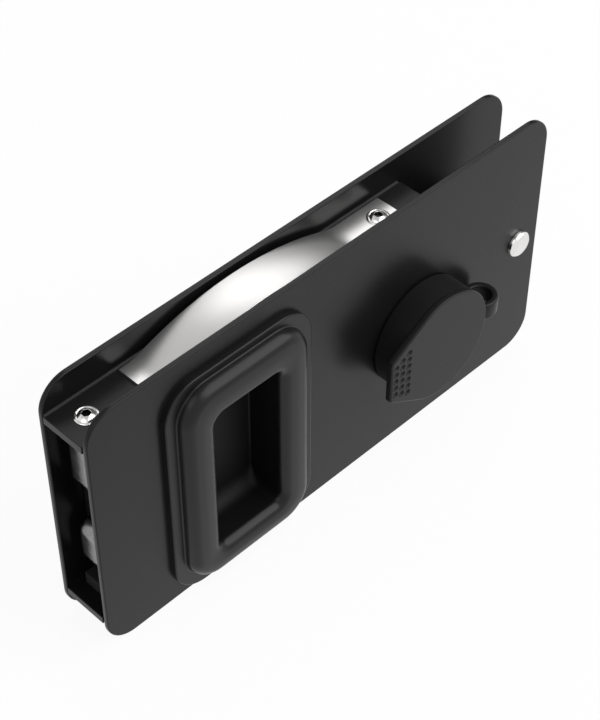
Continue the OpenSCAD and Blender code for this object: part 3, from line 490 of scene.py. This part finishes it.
def scatter(name, template, spots, material, cut=None):
    # Geometry Nodes: copies of a template on spots, or the same copies cut out of a piece
    tree = bpy.data.node_groups.new(name, "GeometryNodeTree")
    sockets = tree.interface
    sockets.new_socket("Geometry", in_out="INPUT", socket_type="NodeSocketGeometry")
    sizeInput = sockets.new_socket("Size", in_out="INPUT", socket_type="NodeSocketFloat")
    turnInput = sockets.new_socket("Turn", in_out="INPUT", socket_type="NodeSocketRotation")
    copyInput = sockets.new_socket("Copied piece", in_out="INPUT", socket_type="NodeSocketObject")
    spotInput = sockets.new_socket("Spots", in_out="INPUT", socket_type="NodeSocketObject")
    finishInput = sockets.new_socket("Finish", in_out="INPUT", socket_type="NodeSocketMaterial")
    sockets.new_socket("Geometry", in_out="OUTPUT", socket_type="NodeSocketGeometry")
    nodes, links = tree.nodes, tree.links
    given = nodes.new("NodeGroupInput")
    copied = nodes.new("GeometryNodeObjectInfo")
    spread = nodes.new("GeometryNodeObjectInfo")
    onPoints = nodes.new("GeometryNodeInstanceOnPoints")
    real = nodes.new("GeometryNodeRealizeInstances")
    dressed = nodes.new("GeometryNodeSetMaterial")
    result = nodes.new("NodeGroupOutput")
    links.new(given.outputs["Copied piece"], copied.inputs["Object"])
    links.new(given.outputs["Spots"], spread.inputs["Object"])
    links.new(spread.outputs["Geometry"], onPoints.inputs["Points"])
    links.new(copied.outputs["Geometry"], onPoints.inputs["Instance"])
    links.new(given.outputs["Turn"], onPoints.inputs["Rotation"])
    links.new(given.outputs["Size"], onPoints.inputs["Scale"])
    links.new(onPoints.outputs["Instances"], real.inputs["Geometry"])
    copies = real.outputs["Geometry"]
    if cut:
        carve = nodes.new("GeometryNodeMeshBoolean")
        carve.operation = "DIFFERENCE"
        carve.solver = "EXACT"
        links.new(given.outputs["Geometry"], carve.inputs["Mesh 1"])
        links.new(copies, carve.inputs["Mesh 2"])
        copies = carve.outputs["Mesh"]
    links.new(copies, dressed.inputs["Geometry"])
    links.new(given.outputs["Finish"], dressed.inputs["Material"])
    links.new(dressed.outputs["Geometry"], result.inputs["Geometry"])

    spotMesh = bpy.data.meshes.new(name + "Spots")
    spotMesh.from_pydata([Vector(s) * mm for s in spots], [], [])
    spotHolder = bpy.data.objects.new(name + "Spots", spotMesh)
    copyHolder = bpy.data.objects.new(name + "Copy", template)
    holder = bpy.data.objects.new(name, cut or bpy.data.meshes.new(name + "Empty"))
    for one in (spotHolder, copyHolder, holder):
        scene.collection.objects.link(one)
    modifier = holder.modifiers.new(name, "NODES")
    modifier.node_group = tree
    modifier[sizeInput.identifier] = 1.0
    modifier[turnInput.identifier] = (0.0, 0.0, 0.0)
    modifier[copyInput.identifier] = copyHolder
    modifier[spotInput.identifier] = spotHolder
    modifier[finishInput.identifier] = material
    bpy.context.view_layer.update()
    mesh = bpy.data.meshes.new_from_object(holder.evaluated_get(bpy.context.evaluated_depsgraph_get()))
    holder.modifiers.clear()
    for one in (spotHolder, copyHolder, holder):
        bpy.data.objects.remove(one)
    mesh.name = name
    return mesh


# face plates, cut for the finger pulls, the turns, the clamp bolt and the rear screws,
# whose sizes therefore stand here too

plates = {"length": 150.0, "height": 76.0, "corner": 8.0, "inner": 6.55, "outer": 8.0, "edge": 0.36,
          "play": 0.05}
pulls = {"x": 42.6, "z": -2.9, "w": 20.3, "h": 44.6, "r": 2.5, "wall": 1.0,
         "rimW": 38.7, "rimH": 63.2, "rimShift": (0.0, 0.9), "rimHigh": 5.0, "rimCorner": 8.8,
         "rimRound": 3.05, "crown": 0.12, "lip": 2.8,
         "cupBack": 0.1, "backRound": 0.5, "cupRound": (0.5, 4.4), "recessTop": 0.5,
         "flangeW": 45.0, "flangeH": 68.3, "flangeShift": (0.0, 0.55), "flangeT": 1.6,
         "flangeCorner": 9.5, "flangeRound": 0.35, "fillet": 0.35}
turns = {"x": 103.8, "z": -4.3, "drum": 15.4, "plate": 15.6, "front": 17.6, "back": 15.6, "foot": 8.12,
         "reach": 19.2, "slope": 31.6, "tabCorner": 1.2, "plateEdge": 0.45, "bushHole": 5.0,
         "hub": 6.2, "bore": 4.0, "wall": 2.6, "face": 2.0, "footRound": 0.5, "hubEdge": 0.3,
         "wallEdge": 0.2, "topEdge": 0.02, "screw": 2.0, "screwHead": 3.6}
clamps = {"x": 142.0, "head": 3.65, "high": 1.6, "chamfer": 0.5, "barrel": 2.8, "thread": 2.0,
          "long": 12.2, "nutDeep": 3.0, "seatEdge": 0.12, "topSoft": (0.1, 0.03), "sideSoft": (0.06, 0.02),
          "sideDrop": 0.08, "collar": 1.6, "hex": 2.5, "deep": 1.1, "mouth": 1.7, "tip": 0.4}
rearScrews = {"places": [(107.2, 25.6), (107.2, -25.6), (69.5, -25.6), (12.2, 18.7)],
              "head": 2.9, "edge": 0.1, "thread": 1.5, "long": 9.0, "tip": 0.4,
              "hex": 2.0, "deep": 1.2, "mouth": 1.5}


def screwHole(x, z, radius):
    return circlePoints(x, z, radius + plates["play"], steps=40)


plateOutline = ringPoints(plates["length"] / 2, 0, plates["length"], plates["height"], plates["corner"],
                          steps=16)
around = pulls["wall"] + plates["play"]
window = ringPoints(pulls["x"], pulls["z"], pulls["w"] + 2 * around, pulls["h"] + 2 * around,
                    pulls["r"] + around)
bushHole = circlePoints(turns["x"], turns["z"], turns["bushHole"])
frontOutlines = [plateOutline, window, bushHole, screwHole(clamps["x"], 0, clamps["barrel"])]
rearOutlines = frontOutlines + [screwHole(x, z, rearScrews["head"]) for x, z in rearScrews["places"]]

frontPlate = sheetMesh("frontPlate", frontOutlines, -plates["outer"], -plates["inner"], plates["edge"])
place(frontPlate, "frontPlate", plateCoat, "latch_case", ["front_plate"])
rearPlate = sheetMesh("rearPlate", rearOutlines, plates["inner"], plates["outer"], plates["edge"])
place(rearPlate, "rearPlate", plateCoat, "latch_case", ["rear_plate"])
print("face plates made")


# finger pulls

def pullRing(w, h, r, y, shift=(0.0, 0.0)):
    return [(x, -y, z) for x, z in ringPoints(pulls["x"] + shift[0], pulls["z"] + shift[1], w, h, r)]


def pullRings(small=4, lipSteps=9, rimSteps=10, crownSteps=4):
    face, wall, back, edge = plates["outer"], pulls["wall"], pulls["cupBack"], pulls["backRound"]
    w, h, r = pulls["w"], pulls["h"], pulls["r"]
    # back corner of the cup, outside
    rings = [pullRing(w + 2 * wall - 2 * edge, h + 2 * wall - 2 * edge, r + wall - edge, back)]
    for s, c in quarter(small):
        out = edge * (1 - s)
        rings.append(pullRing(w + 2 * wall - 2 * out, h + 2 * wall - 2 * out, r + wall - out,
                              back + edge * (1 - c)))
    rings.append(pullRing(w + 2 * wall, h + 2 * wall, r + wall, face))
    # flange with a rounded edge
    fw, fh, fr, fs = pulls["flangeW"], pulls["flangeH"], pulls["flangeCorner"], pulls["flangeShift"]
    top, er = face + pulls["flangeT"], pulls["flangeRound"]
    rings.append(pullRing(fw, fh, fr, face, fs))
    for s, c in quarter(small):
        inset = er * (1 - c)
        rings.append(pullRing(fw - 2 * inset, fh - 2 * inset, fr - inset, top - er * (1 - s), fs))
    # fillet from the flange up to the rim, then the rim's outer rounding
    ow, oh, oc, shift = pulls["rimW"], pulls["rimH"], pulls["rimCorner"], pulls["rimShift"]
    fillet, rr, rise = pulls["fillet"], pulls["rimRound"], face + pulls["rimHigh"]
    for s, c in quarter(small):
        grow = fillet * (1 - s)
        rings.append(pullRing(ow + 2 * grow, oh + 2 * grow, oc + grow, top + fillet * (1 - c), shift))
    for s, c in quarter(rimSteps)[1:]:
        inset = rr * (1 - c)
        rings.append(pullRing(ow - 2 * inset, oh - 2 * inset, oc - inset, rise - rr * (1 - s), shift))
    # crown, faintly domed, then the wide lip at the opening
    lip = pulls["lip"]
    inner, outer = (w + 2 * lip, h + 2 * lip, r + lip), (ow - 2 * rr, oh - 2 * rr, oc - rr)
    for t in (i / crownSteps for i in range(1, crownSteps)):
        size = [a + (b - a) * t for a, b in zip(outer, inner)]
        dome = pulls["crown"] * 4 * t * (1 - t)
        rings.append(pullRing(*size, rise + dome, [k * (1 - t) for k in shift]))
    for s, c in quarter(lipSteps):
        inset = lip * (1 - s)
        rings.append(pullRing(w + 2 * inset, h + 2 * inset, r + inset, rise - lip * (1 - c)))
    # wall and floor of the cup: rounded little at its sides and widely at its ends
    floor, (sideRound, endRound) = back + wall, pulls["cupRound"]
    levels = {endRound * (1 - s) for s, c in quarter(lipSteps)}
    levels |= {sideRound * (1 - s) for s, c in quarter(small)}
    for level in sorted(levels, reverse=True):
        side, end = (big - math.sqrt(big ** 2 - max(0.0, big - level) ** 2) for big in (sideRound, endRound))
        rings.append(pullRing(w - 2 * side, h - 2 * end, r - side, floor + level))
    return rings


def markCup(mesh, near=0.01):
    # on the points below the lip and within the opening the coat is painted darker, a painted shade, and is
    # duller
    recess = mesh.attributes.new("recess", "FLOAT", "POINT")
    below = plates["outer"] + pulls["rimHigh"] - pulls["lip"] - pulls["recessTop"]
    for vert, value in zip(mesh.vertices, recess.data):
        across, deep, up = (abs(k) / mm for k in vert.co - Vector((pulls["x"], 0, pulls["z"])) * mm)
        inside = across < pulls["w"] / 2 + near and up < pulls["h"] / 2 + near
        value.value = float(inside and deep < below)


frontPull = smoothed(loftMesh("frontPull", pullRings()), sheet=True)
markCup(frontPull)
rearPull = flipped(frontPull)
place(frontPull, "frontPull", pullCoat, "latch_case", ["front_pull"])
place(rearPull, "rearPull", pullCoat, "latch_case", ["rear_pull"])
print("finger pulls made")


# turns: drum with cord eye, and the plate with its thumb tab

def drumMesh():
    foot, back, under = turns["foot"], turns["back"], turns["back"] - turns["face"]
    outer, inner, hub = turns["drum"], turns["drum"] - turns["wall"], turns["hub"]
    hubEdge, wallEdge = turns["hubEdge"], turns["wallEdge"]
    footRound, topEdge = turns["footRound"], turns["topEdge"]
    profile = [(turns["bore"], foot), (hub - hubEdge, foot), (hub, foot + hubEdge), (hub, under),
               (inner, under), (inner, foot + wallEdge), (inner + wallEdge, foot)]
    profile += arc(outer - footRound, foot + footRound, footRound, -90, 0)
    # the top, and the countersunk hole of the screw that the turn plate covers
    sink = turns["screwHead"] - turns["screw"]
    profile += [(outer, back - topEdge), (outer - topEdge, back), (turns["screwHead"], back),
                (turns["screw"], back - sink), (turns["screw"], under), (turns["bore"], under)]
    return alongY(latheMesh("drum", profile, steps=128), turns["x"], 0, turns["z"])


eyes = {"away": 18.4, "centre": 12.9, "outer": 4.75, "bore": 2.9, "thick": 5.0, "round": 0.7,
        "boreRound": 0.5}


def eyeMesh():
    half, rr, br = eyes["thick"] / 2, eyes["round"], eyes["boreRound"]
    outside, inside = eyes["outer"] - rr, eyes["bore"] + br
    profile = arc(outside, half - rr, rr, 90, 0) + arc(outside, rr - half, rr, 0, -90)
    profile += arc(inside, br - half, br, -90, -180) + arc(inside, half - br, br, 180, 90)
    ring = latheMesh("eye", profile, steps=72)
    spot = Vector((turns["x"] + eyes["away"], -eyes["centre"], turns["z"]))
    ring.transform(Matrix.Translation(spot * mm))
    return ring


def turnOutline(tabSteps=8, roundSteps=48):
    # a disc with a straight-sided tab, whose sides touch the disc and slope towards the tip
    r, tip, reach = turns["plate"], turns["tabCorner"], turns["reach"]
    slope = math.radians(turns["slope"])
    cx = -reach + tip
    cz = (r - tip - (reach - tip) * math.sin(slope)) / math.cos(slope)
    normal = 90 + turns["slope"]
    upper = arc(cx, cz, tip, 180, normal, tabSteps) + arc(0, 0, r, normal, 0, roundSteps)
    lower = [(x, -z) for x, z in reversed(upper[:-1])]
    return [(turns["x"] + x, turns["z"] + z) for x, z in upper + lower]


dimples = {"radius": 0.95, "depth": 0.7, "pitch": 2.25, "edge": 1.5, "rows": 5, "columns": 3}


def dimpleSpots():
    ball = (dimples["radius"] ** 2 + dimples["depth"] ** 2) / (2 * dimples["depth"])
    spots = []
    for c in range(dimples["columns"]):
        count = dimples["rows"] + c
        for i in range(count):
            spots.append((turns["x"] - turns["reach"] + dimples["edge"] + c * dimples["pitch"],
                          -turns["front"] - ball + dimples["depth"],
                          turns["z"] + (i - (count - 1) / 2) * dimples["pitch"]))
    return ball, spots


def turnPlateMesh():
    plain = sheetMesh("turnPlain", [turnOutline()], -turns["front"], -turns["back"], turns["plateEdge"],
                      steps=4)
    ball, spots = dimpleSpots()
    work = bmesh.new()
    bmesh.ops.create_uvsphere(work, u_segments=20, v_segments=12, radius=ball * mm)
    sphere = bpy.data.meshes.new("dimpleBall")
    work.to_mesh(sphere)
    work.free()
    return smoothed(scatter("thumbDimples", sphere, spots, turnCoat, cut=plain), angle=30, sheet=True)


frontDrum = joined("frontDrum", [drumMesh(), eyeMesh()])
rearDrum = flipped(frontDrum)
place(frontDrum, "frontDrum", turnCoat, "turn", ["front_drum"])
place(rearDrum, "rearDrum", turnCoat, "turn", ["rear_drum"])
frontTurnPlate = turnPlateMesh()
rearTurnPlate = flipped(frontTurnPlate)
place(frontTurnPlate, "frontTurnPlate", turnCoat, "turn", ["front_turn_plate"])
place(rearTurnPlate, "rearTurnPlate", turnCoat, "turn", ["rear_turn_plate"])
print("turns made")


# leaf spring: a flat end, a round foot, the bow, a second foot and the flat end under the rear screw

caseTop = 30.2
strip = {"start": 20.3, "tab": 1.7, "span": 65.7, "rise": 6.2, "foot": 12.0, "screwTab": 14.4,
         "rear": 5.2, "front": -5.9, "thick": 0.7, "edge": 0.14, "flat": 0.4}


def stripLine(footSteps=10, crownSteps=64):
    # places along the strip, each with the angle that the strip has there
    half = strip["span"] / 2
    lean = 2 * math.atan(strip["rise"] / half)
    crown = half / math.sin(lean) - strip["foot"]
    x0 = strip["start"] + strip["tab"]
    line = [(strip["start"], 0.0, 0.0), (x0 - strip["flat"], 0.0, 0.0)]

    def foot(x, share):
        a = lean * share
        line.append((x + strip["foot"] * math.sin(a), strip["foot"] * (1 - math.cos(a)), a))

    for i in range(footSteps + 1):
        foot(x0, i / footSteps)
    for i in range(1, crownSteps):
        a = lean * (1 - 2 * i / crownSteps)
        line.append((x0 + half - crown * math.sin(a), strip["rise"] - crown * (1 - math.cos(a)), a))
    for i in range(footSteps + 1):
        foot(x0 + strip["span"], i / footSteps - 1)
    line.append((x0 + strip["span"] + strip["screwTab"], 0.0, 0.0))
    return line


def stripMesh():
    half, wide, edge = strip["thick"] / 2, strip["rear"] - strip["front"], strip["edge"]
    middle = (strip["rear"] + strip["front"]) / 2
    section = []
    for k, (sy, sn) in enumerate(((1, 1), (-1, 1), (-1, -1), (1, -1))):
        section += arc(middle + sy * (wide / 2 - edge), sn * (half - edge), edge, 90 * k, 90 * (k + 1),
                       steps=3)
    rings = []
    for x, z, lean in stripLine():
        rings.append([(x - n * math.sin(lean), y, caseTop + half + z + n * math.cos(lean))
                      for y, n in section])
    return loftMesh("leafSpring", rings)


place(stripMesh(), "leafSpring", stripSteel, "latch_case", ["leaf_spring"])
print("leaf spring made")


# paint bead in the corner between the case's top and each plate

beads = {"start": 0.3, "end": 110.6, "inner": 5.95, "round": 0.42, "sunk": 0.3, "over": 0.02}


def beadMesh(side):
    inner, outer, r = beads["inner"], plates["inner"], beads["round"]
    section = [(outer, caseTop - beads["sunk"]), (inner, caseTop - beads["sunk"]),
               (inner, caseTop + beads["over"])]
    section += [(outer - r + r * s, caseTop + r - r * c) for s, c in quarter(6)[1:-1]]
    section.append((outer, caseTop + r))
    rings = [[(x, side * y, z) for y, z in section] for x in (beads["start"], beads["end"])]
    return loftMesh("caseBead", rings)


caseBeads = joined("caseBeads", [beadMesh(-1), beadMesh(1)])
place(caseBeads, "caseBeads", caseCoat, "latch_case")
print("beads made")


# torsion springs, built where they rest and joined to no body: on the latch one leg turns with the moving
# body, the other stays in the case

springs = {
    "hookSpring": {"node": "hook_spring", "body": "hook_lever", "x": 24.0, "z": -19.5, "side": -1,
                   "round": 2.87, "low": 2.15, "high": 3.85, "turns": 1.5},
    "returnSpring": {"node": "return_spring", "body": "turn", "x": turns["x"], "z": turns["z"], "side": 1,
                     "round": 7.41, "low": -13.15, "high": -8.75, "turns": 3.5},
}
wire = {"leg": 1.3, "radius": 0.35, "sides": 12, "turnSteps": 32, "bend": 60}


def springMesh(name, look):
    low, high, thick = look["low"], look["high"], wire["radius"]
    steps, last = int(wire["turnSteps"] * look["turns"]), 360 * look["turns"]
    line = [(0, low - wire["leg"]), (0, low - thick)]
    line += [(last * i / steps, low + (high - low) * i / steps) for i in range(1, steps)]
    line += [(last, high + thick), (last, high + wire["leg"])]
    outs = [Vector((math.cos(math.radians(a)), 0, math.sin(math.radians(a)))) * look["side"] for a, y in line]
    path = [Vector((look["x"], y, look["z"])) + out * look["round"] for out, (a, y) in zip(outs, line)]
    rings = []
    for i, (point, out) in enumerate(zip(path, outs)):
        along = path[min(i + 1, len(path) - 1)] - path[max(i - 1, 0)]
        out = (out - along * out.dot(along) / along.dot(along)).normalized()
        across = along.cross(out).normalized()
        rings.append([point + (out * math.cos(b) + across * math.sin(b)) * thick
                      for b in (2 * math.pi * k / wire["sides"] for k in range(wire["sides"]))])
    return smoothed(loftMesh(name, rings), angle=wire["bend"])


for name, look in springs.items():
    piece = newPiece(springMesh(name, look), name, wireSteel)
    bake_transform(piece)
    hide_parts(look["node"])
print("springs made")


# case screws: flanged round heads with hexagon sockets, one on the case and one on the leaf spring

screws = {"spots": [(6.8, 0, caseTop), (97.0, 0, caseTop + strip["thick"])],
          "thread": 1.5, "long": 8.0, "tip": 0.4,
          "head": 2.5, "high": 1.25, "flange": 2.9, "flangeHigh": 0.35, "flangeEdge": 0.15, "step": 0.05,
          "hex": 1.9, "deep": 1.0, "mouth": 1.45, "mouthSunk": 0.2}
sockets = {"tip": 0.35, "chamfer": 0.12}


def socketHead(name, rim, hexFlats, deep, top, below, steps=60):
    # a turned head: rim is the outside profile from the socket's edge outwards, the socket is six-sided
    work = bmesh.new()
    shade = work.verts.layers.float.new("recess")
    angles = [2 * math.pi * i / steps for i in range(steps)]

    def hexRadius(a):
        a = (a + math.pi / 6) % (math.pi / 3) - math.pi / 6
        return hexFlats / 2 / math.cos(a)

    def ring(radii, h):
        return [work.verts.new((r * mm * math.cos(a), r * mm * math.sin(a), h * mm))
                for r, a in zip(radii, angles)]

    walls = [hexRadius(a) for a in angles]
    floor = ring(walls, top - deep)
    tip = work.verts.new((0, 0, (top - deep - sockets["tip"]) * mm))
    loops = [floor, ring(walls, top - sockets["chamfer"]), ring([r + sockets["chamfer"] for r in walls], top)]
    loops += [ring([r] * steps, h) for r, h in rim + below]
    for low, high in zip(loops, loops[1:]):
        for i in range(steps):
            j = (i + 1) % steps
            work.faces.new((low[i], low[j], high[j], high[i]))
    for i in range(steps):
        work.faces.new((tip, floor[(i + 1) % steps], floor[i]))
    work.faces.new(loops[-1])
    bmesh.ops.recalc_face_normals(work, faces=work.faces)
    # the socket's floor and walls get the painted shade
    for vert in floor + [tip] + loops[1]:
        vert[shade] = 1.0
    mesh = bpy.data.meshes.new(name)
    work.to_mesh(mesh)
    work.free()
    return smoothed(mesh)


def threadEnd(look):
    # the last stretch of a thread and its narrower tip
    return [(look["thread"], look["tip"] - look["long"]), (look["thread"] - look["tip"], -look["long"])]


def caseScrewMesh(steps=8):
    head, high, mouth, flange = screws["head"], screws["high"], screws["mouth"], screws["flange"]
    ball = (head ** 2 + high ** 2) / (2 * high)
    rim = [(r, high - ball + math.sqrt(ball ** 2 - r ** 2))
           for r in (mouth + (head - mouth) * i / steps for i in range(steps))]
    rim.append((head, screws["flangeHigh"] + screws["step"]))
    below = [(flange - screws["flangeEdge"], screws["flangeHigh"]),
             (flange, screws["flangeHigh"] - screws["flangeEdge"]), (flange, 0.0), (screws["thread"], 0.0)]
    below += threadEnd(screws)
    return socketHead("caseScrew", rim, screws["hex"], screws["deep"], high - screws["mouthSunk"], below)


caseScrews = scatter("caseScrews", caseScrewMesh(), screws["spots"], screwSteel)
place(smoothed(caseScrews), "caseScrews", screwSteel, "latch_case", ["case_screws"])


# clamp bolt: a plain nut in front, a screw with a socket at the rear

def clampChamfer():
    # where the chamfer of the head runs into its side
    head, foot, (out, up) = clamps["head"], clamps["high"] - clamps["chamfer"], clamps["sideSoft"]
    return [(head - out, foot + up), (head, foot - clamps["sideDrop"])]


def clampNutMesh():
    head, high, c, (out, drop) = clamps["head"], clamps["high"], clamps["chamfer"], clamps["topSoft"]
    barrel, thread, seat = clamps["barrel"], clamps["thread"], clamps["seatEdge"]
    profile = [(0.0, high), (head - c - out, high), (head - c, high - drop)] + clampChamfer()
    profile += [(head, seat), (head - seat, 0.0), (barrel, 0.0), (barrel, -clamps["long"]),
                (thread, -clamps["long"]), (thread, -clamps["nutDeep"]), (0.0, -clamps["nutDeep"])]
    nut = latheMesh("clampNut", profile, steps=72, closed=False)
    return alongY(nut, clamps["x"], -plates["outer"], 0)


def clampScrewMesh():
    head, high, collar = clamps["head"], clamps["high"], clamps["collar"]
    barrel, thread, long, tip = clamps["barrel"], clamps["thread"], clamps["long"], clamps["tip"]
    rim = [(clamps["mouth"], high), (head - clamps["chamfer"], high)] + clampChamfer()
    below = [(head, 0.0), (barrel, 0.0), (barrel, -collar), (thread, -collar), (thread, -long),
             (thread - tip, -long - tip)]
    screw = socketHead("clampScrew", rim, clamps["hex"], clamps["deep"], high, below)
    return alongY(screw, clamps["x"], plates["outer"], 0, front=False)


place(clampNutMesh(), "clampNut", screwSteel, "latch_case", ["clamp_nut"])
place(clampScrewMesh(), "clampScrew", screwSteel, "latch_case", ["clamp_screw"])


# countersunk screws of the rear plate

def countersunkMesh():
    head, edge = rearScrews["head"], rearScrews["edge"]
    rim = [(rearScrews["mouth"], 0.0), (head - edge, 0.0), (head, -edge)]
    below = [(rearScrews["thread"], rearScrews["thread"] - head)] + threadEnd(rearScrews)
    screw = socketHead("countersunk", rim, rearScrews["hex"], rearScrews["deep"], 0.0, below)
    return alongY(screw, 0, 0, 0, front=False)


rearSpots = [(x, plates["outer"], z) for x, z in rearScrews["places"]]
rearHeads = scatter("rearPlateScrews", countersunkMesh(), rearSpots, blackSteel)
place(smoothed(rearHeads), "rearPlateScrews", blackSteel, "latch_case", ["rear_plate_screws"])
print("fasteners made")


# CAD nodes that keep their shape

finishes = {
    "case": caseCoat, "front_cheek": caseCoat, "rear_cheek": caseCoat,
    "guide_block": zincCasting, "hook": zincCasting,
    "hook_pin": groundSteel, "hook_drive_pin": groundSteel, "guide_pins": groundSteel,
    "crank_pin": groundSteel, "cam_cross_pin": groundSteel, "spindle": groundSteel,
    "transfer_bar": pressedSteel, "drive_cam": pressedSteel,
    "front_bush": bearingPlastic, "rear_bush": bearingPlastic, "guide_spacers": bearingPlastic,
    "clamp_spacer": bearingPlastic, "hook_stop_pad": stopRubber, "drum_screws": blackSteel,
}
for node, material in finishes.items():
    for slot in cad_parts[node].material_slots:
        slot.material = material
print("CAD nodes dressed")


# camera

camera = {"spot": (-0.1488, -0.2196, 0.3123), "look": (0.5, 0.5, -0.70711), "lens": 91.25,
          "sensor": (30.0, 36.0), "far": 20.0}
cameraData = bpy.data.cameras.new("camera")
cameraData.lens = camera["lens"]
cameraData.sensor_fit = "VERTICAL"
cameraData.sensor_width, cameraData.sensor_height = camera["sensor"]
cameraData.clip_end = camera["far"]
cameraObject = bpy.data.objects.new("camera", cameraData)
cameraObject.location = camera["spot"]
cameraObject.rotation_euler = Vector(camera["look"]).to_track_quat("-Z", "Y").to_euler()
scene.collection.objects.link(cameraObject)
scene.camera = cameraObject


# floor and sky

def seenWhite(shader):
    # 1 for the rays that meet a white background
    path = shader.add("ShaderNodeLightPath")
    kinds = ("Is Camera Ray", "Is Glossy Ray", "Is Transmission Ray")
    seen = [Signal(shader, path.outputs[kind]) for kind in kinds]
    return (seen[0] + seen[1] + seen[2]).clamped()


floors = {"below": 0.0002, "reach": 3.0, "colour": 0.86, "white": 0.93}
floorMesh = bpy.data.meshes.new("floor")
reach, level = floors["reach"], cadBox[0][2] - floors["below"]
corners = [(-reach, -reach, level), (reach, -reach, level), (reach, reach, level), (-reach, reach, level)]
floorMesh.from_pydata(corners, [], [(0, 1, 2, 3)])
floorShader = Shader(bpy.data.materials.new("paleFloor"))
lit = floorShader.add("ShaderNodeBsdfDiffuse", {}, {"Color": grey(floors["colour"])})
glow = floorShader.add("ShaderNodeEmission", {}, {"Color": grey(1.0), "Strength": 1.0})
mixed = floorShader.add("ShaderNodeMixShader", {}, {0: seenWhite(floorShader) * floors["white"],
                                                    1: lit.outputs[0], 2: glow.outputs[0]})
floorShader.add("ShaderNodeOutputMaterial", {}, {"Surface": mixed.outputs[0]})
floorMesh.materials.append(floorShader.owner)
floor = bpy.data.objects.new("floor", floorMesh)
scene.collection.objects.link(floor)

# a dark panel at the back right and a greyer top, for all but the camera
sky = {"dim": 0.35, "dark": 0.08, "towards": (0.83, 0.44, 0.34), "rim": 0.76, "core": 0.93,
       "overhead": 0.62, "low": 0.66, "high": 0.86}
scene.world = bpy.data.worlds.new("studio")
skyShader = Shader(scene.world)
heading = skyShader.coordinates.outputs["Generated"]
facing = skyShader.dot(heading, sky["towards"]).ramped(sky["rim"], sky["core"])
upward = skyShader.add("ShaderNodeSeparateXYZ", {}, {0: heading}).outputs["Z"]
above = Signal(skyShader, upward).ramped(sky["low"], sky["high"])
hidden = 1.0 - Signal(skyShader, skyShader.add("ShaderNodeLightPath").outputs["Is Camera Ray"])
white = 1.0 - (facing * (1.0 - sky["dark"]) + above * (1.0 - sky["overhead"])).clamped() * hidden
strength = seenWhite(skyShader) * (white - sky["dim"]) + sky["dim"]
background = skyShader.add("ShaderNodeBackground", {}, {"Color": grey(1.0), "Strength": strength})
skyShader.add("ShaderNodeOutputWorld", {}, {"Surface": background.outputs[0]})


# lamps: square soft boxes, all turned to the middle of the latch

lamps = {
    "keyBox": {"spot": (0.55, -0.65, 0.8), "size": 1.3, "power": 14.0},
    "backBox": {"spot": (0.62, 0.52, 0.74), "size": 0.55, "power": 2.0},
    "sideBox": {"spot": (-0.6, -0.12, 0.7), "size": 0.6, "power": 1.2},
}
lampTarget = Vector((plates["length"] / 2 * mm, 0.0, 0.0))
for name, look in lamps.items():
    data = bpy.data.lights.new(name, "AREA")
    data.shape = "SQUARE"
    data.size = look["size"]
    data.energy = look["power"]
    lamp = bpy.data.objects.new(name, data)
    lamp.location = look["spot"]
    lamp.rotation_euler = (lampTarget - Vector(look["spot"])).to_track_quat("-Z", "Y").to_euler()
    scene.collection.objects.link(lamp)

scene.view_settings.view_transform = "Standard"
print("stage set")
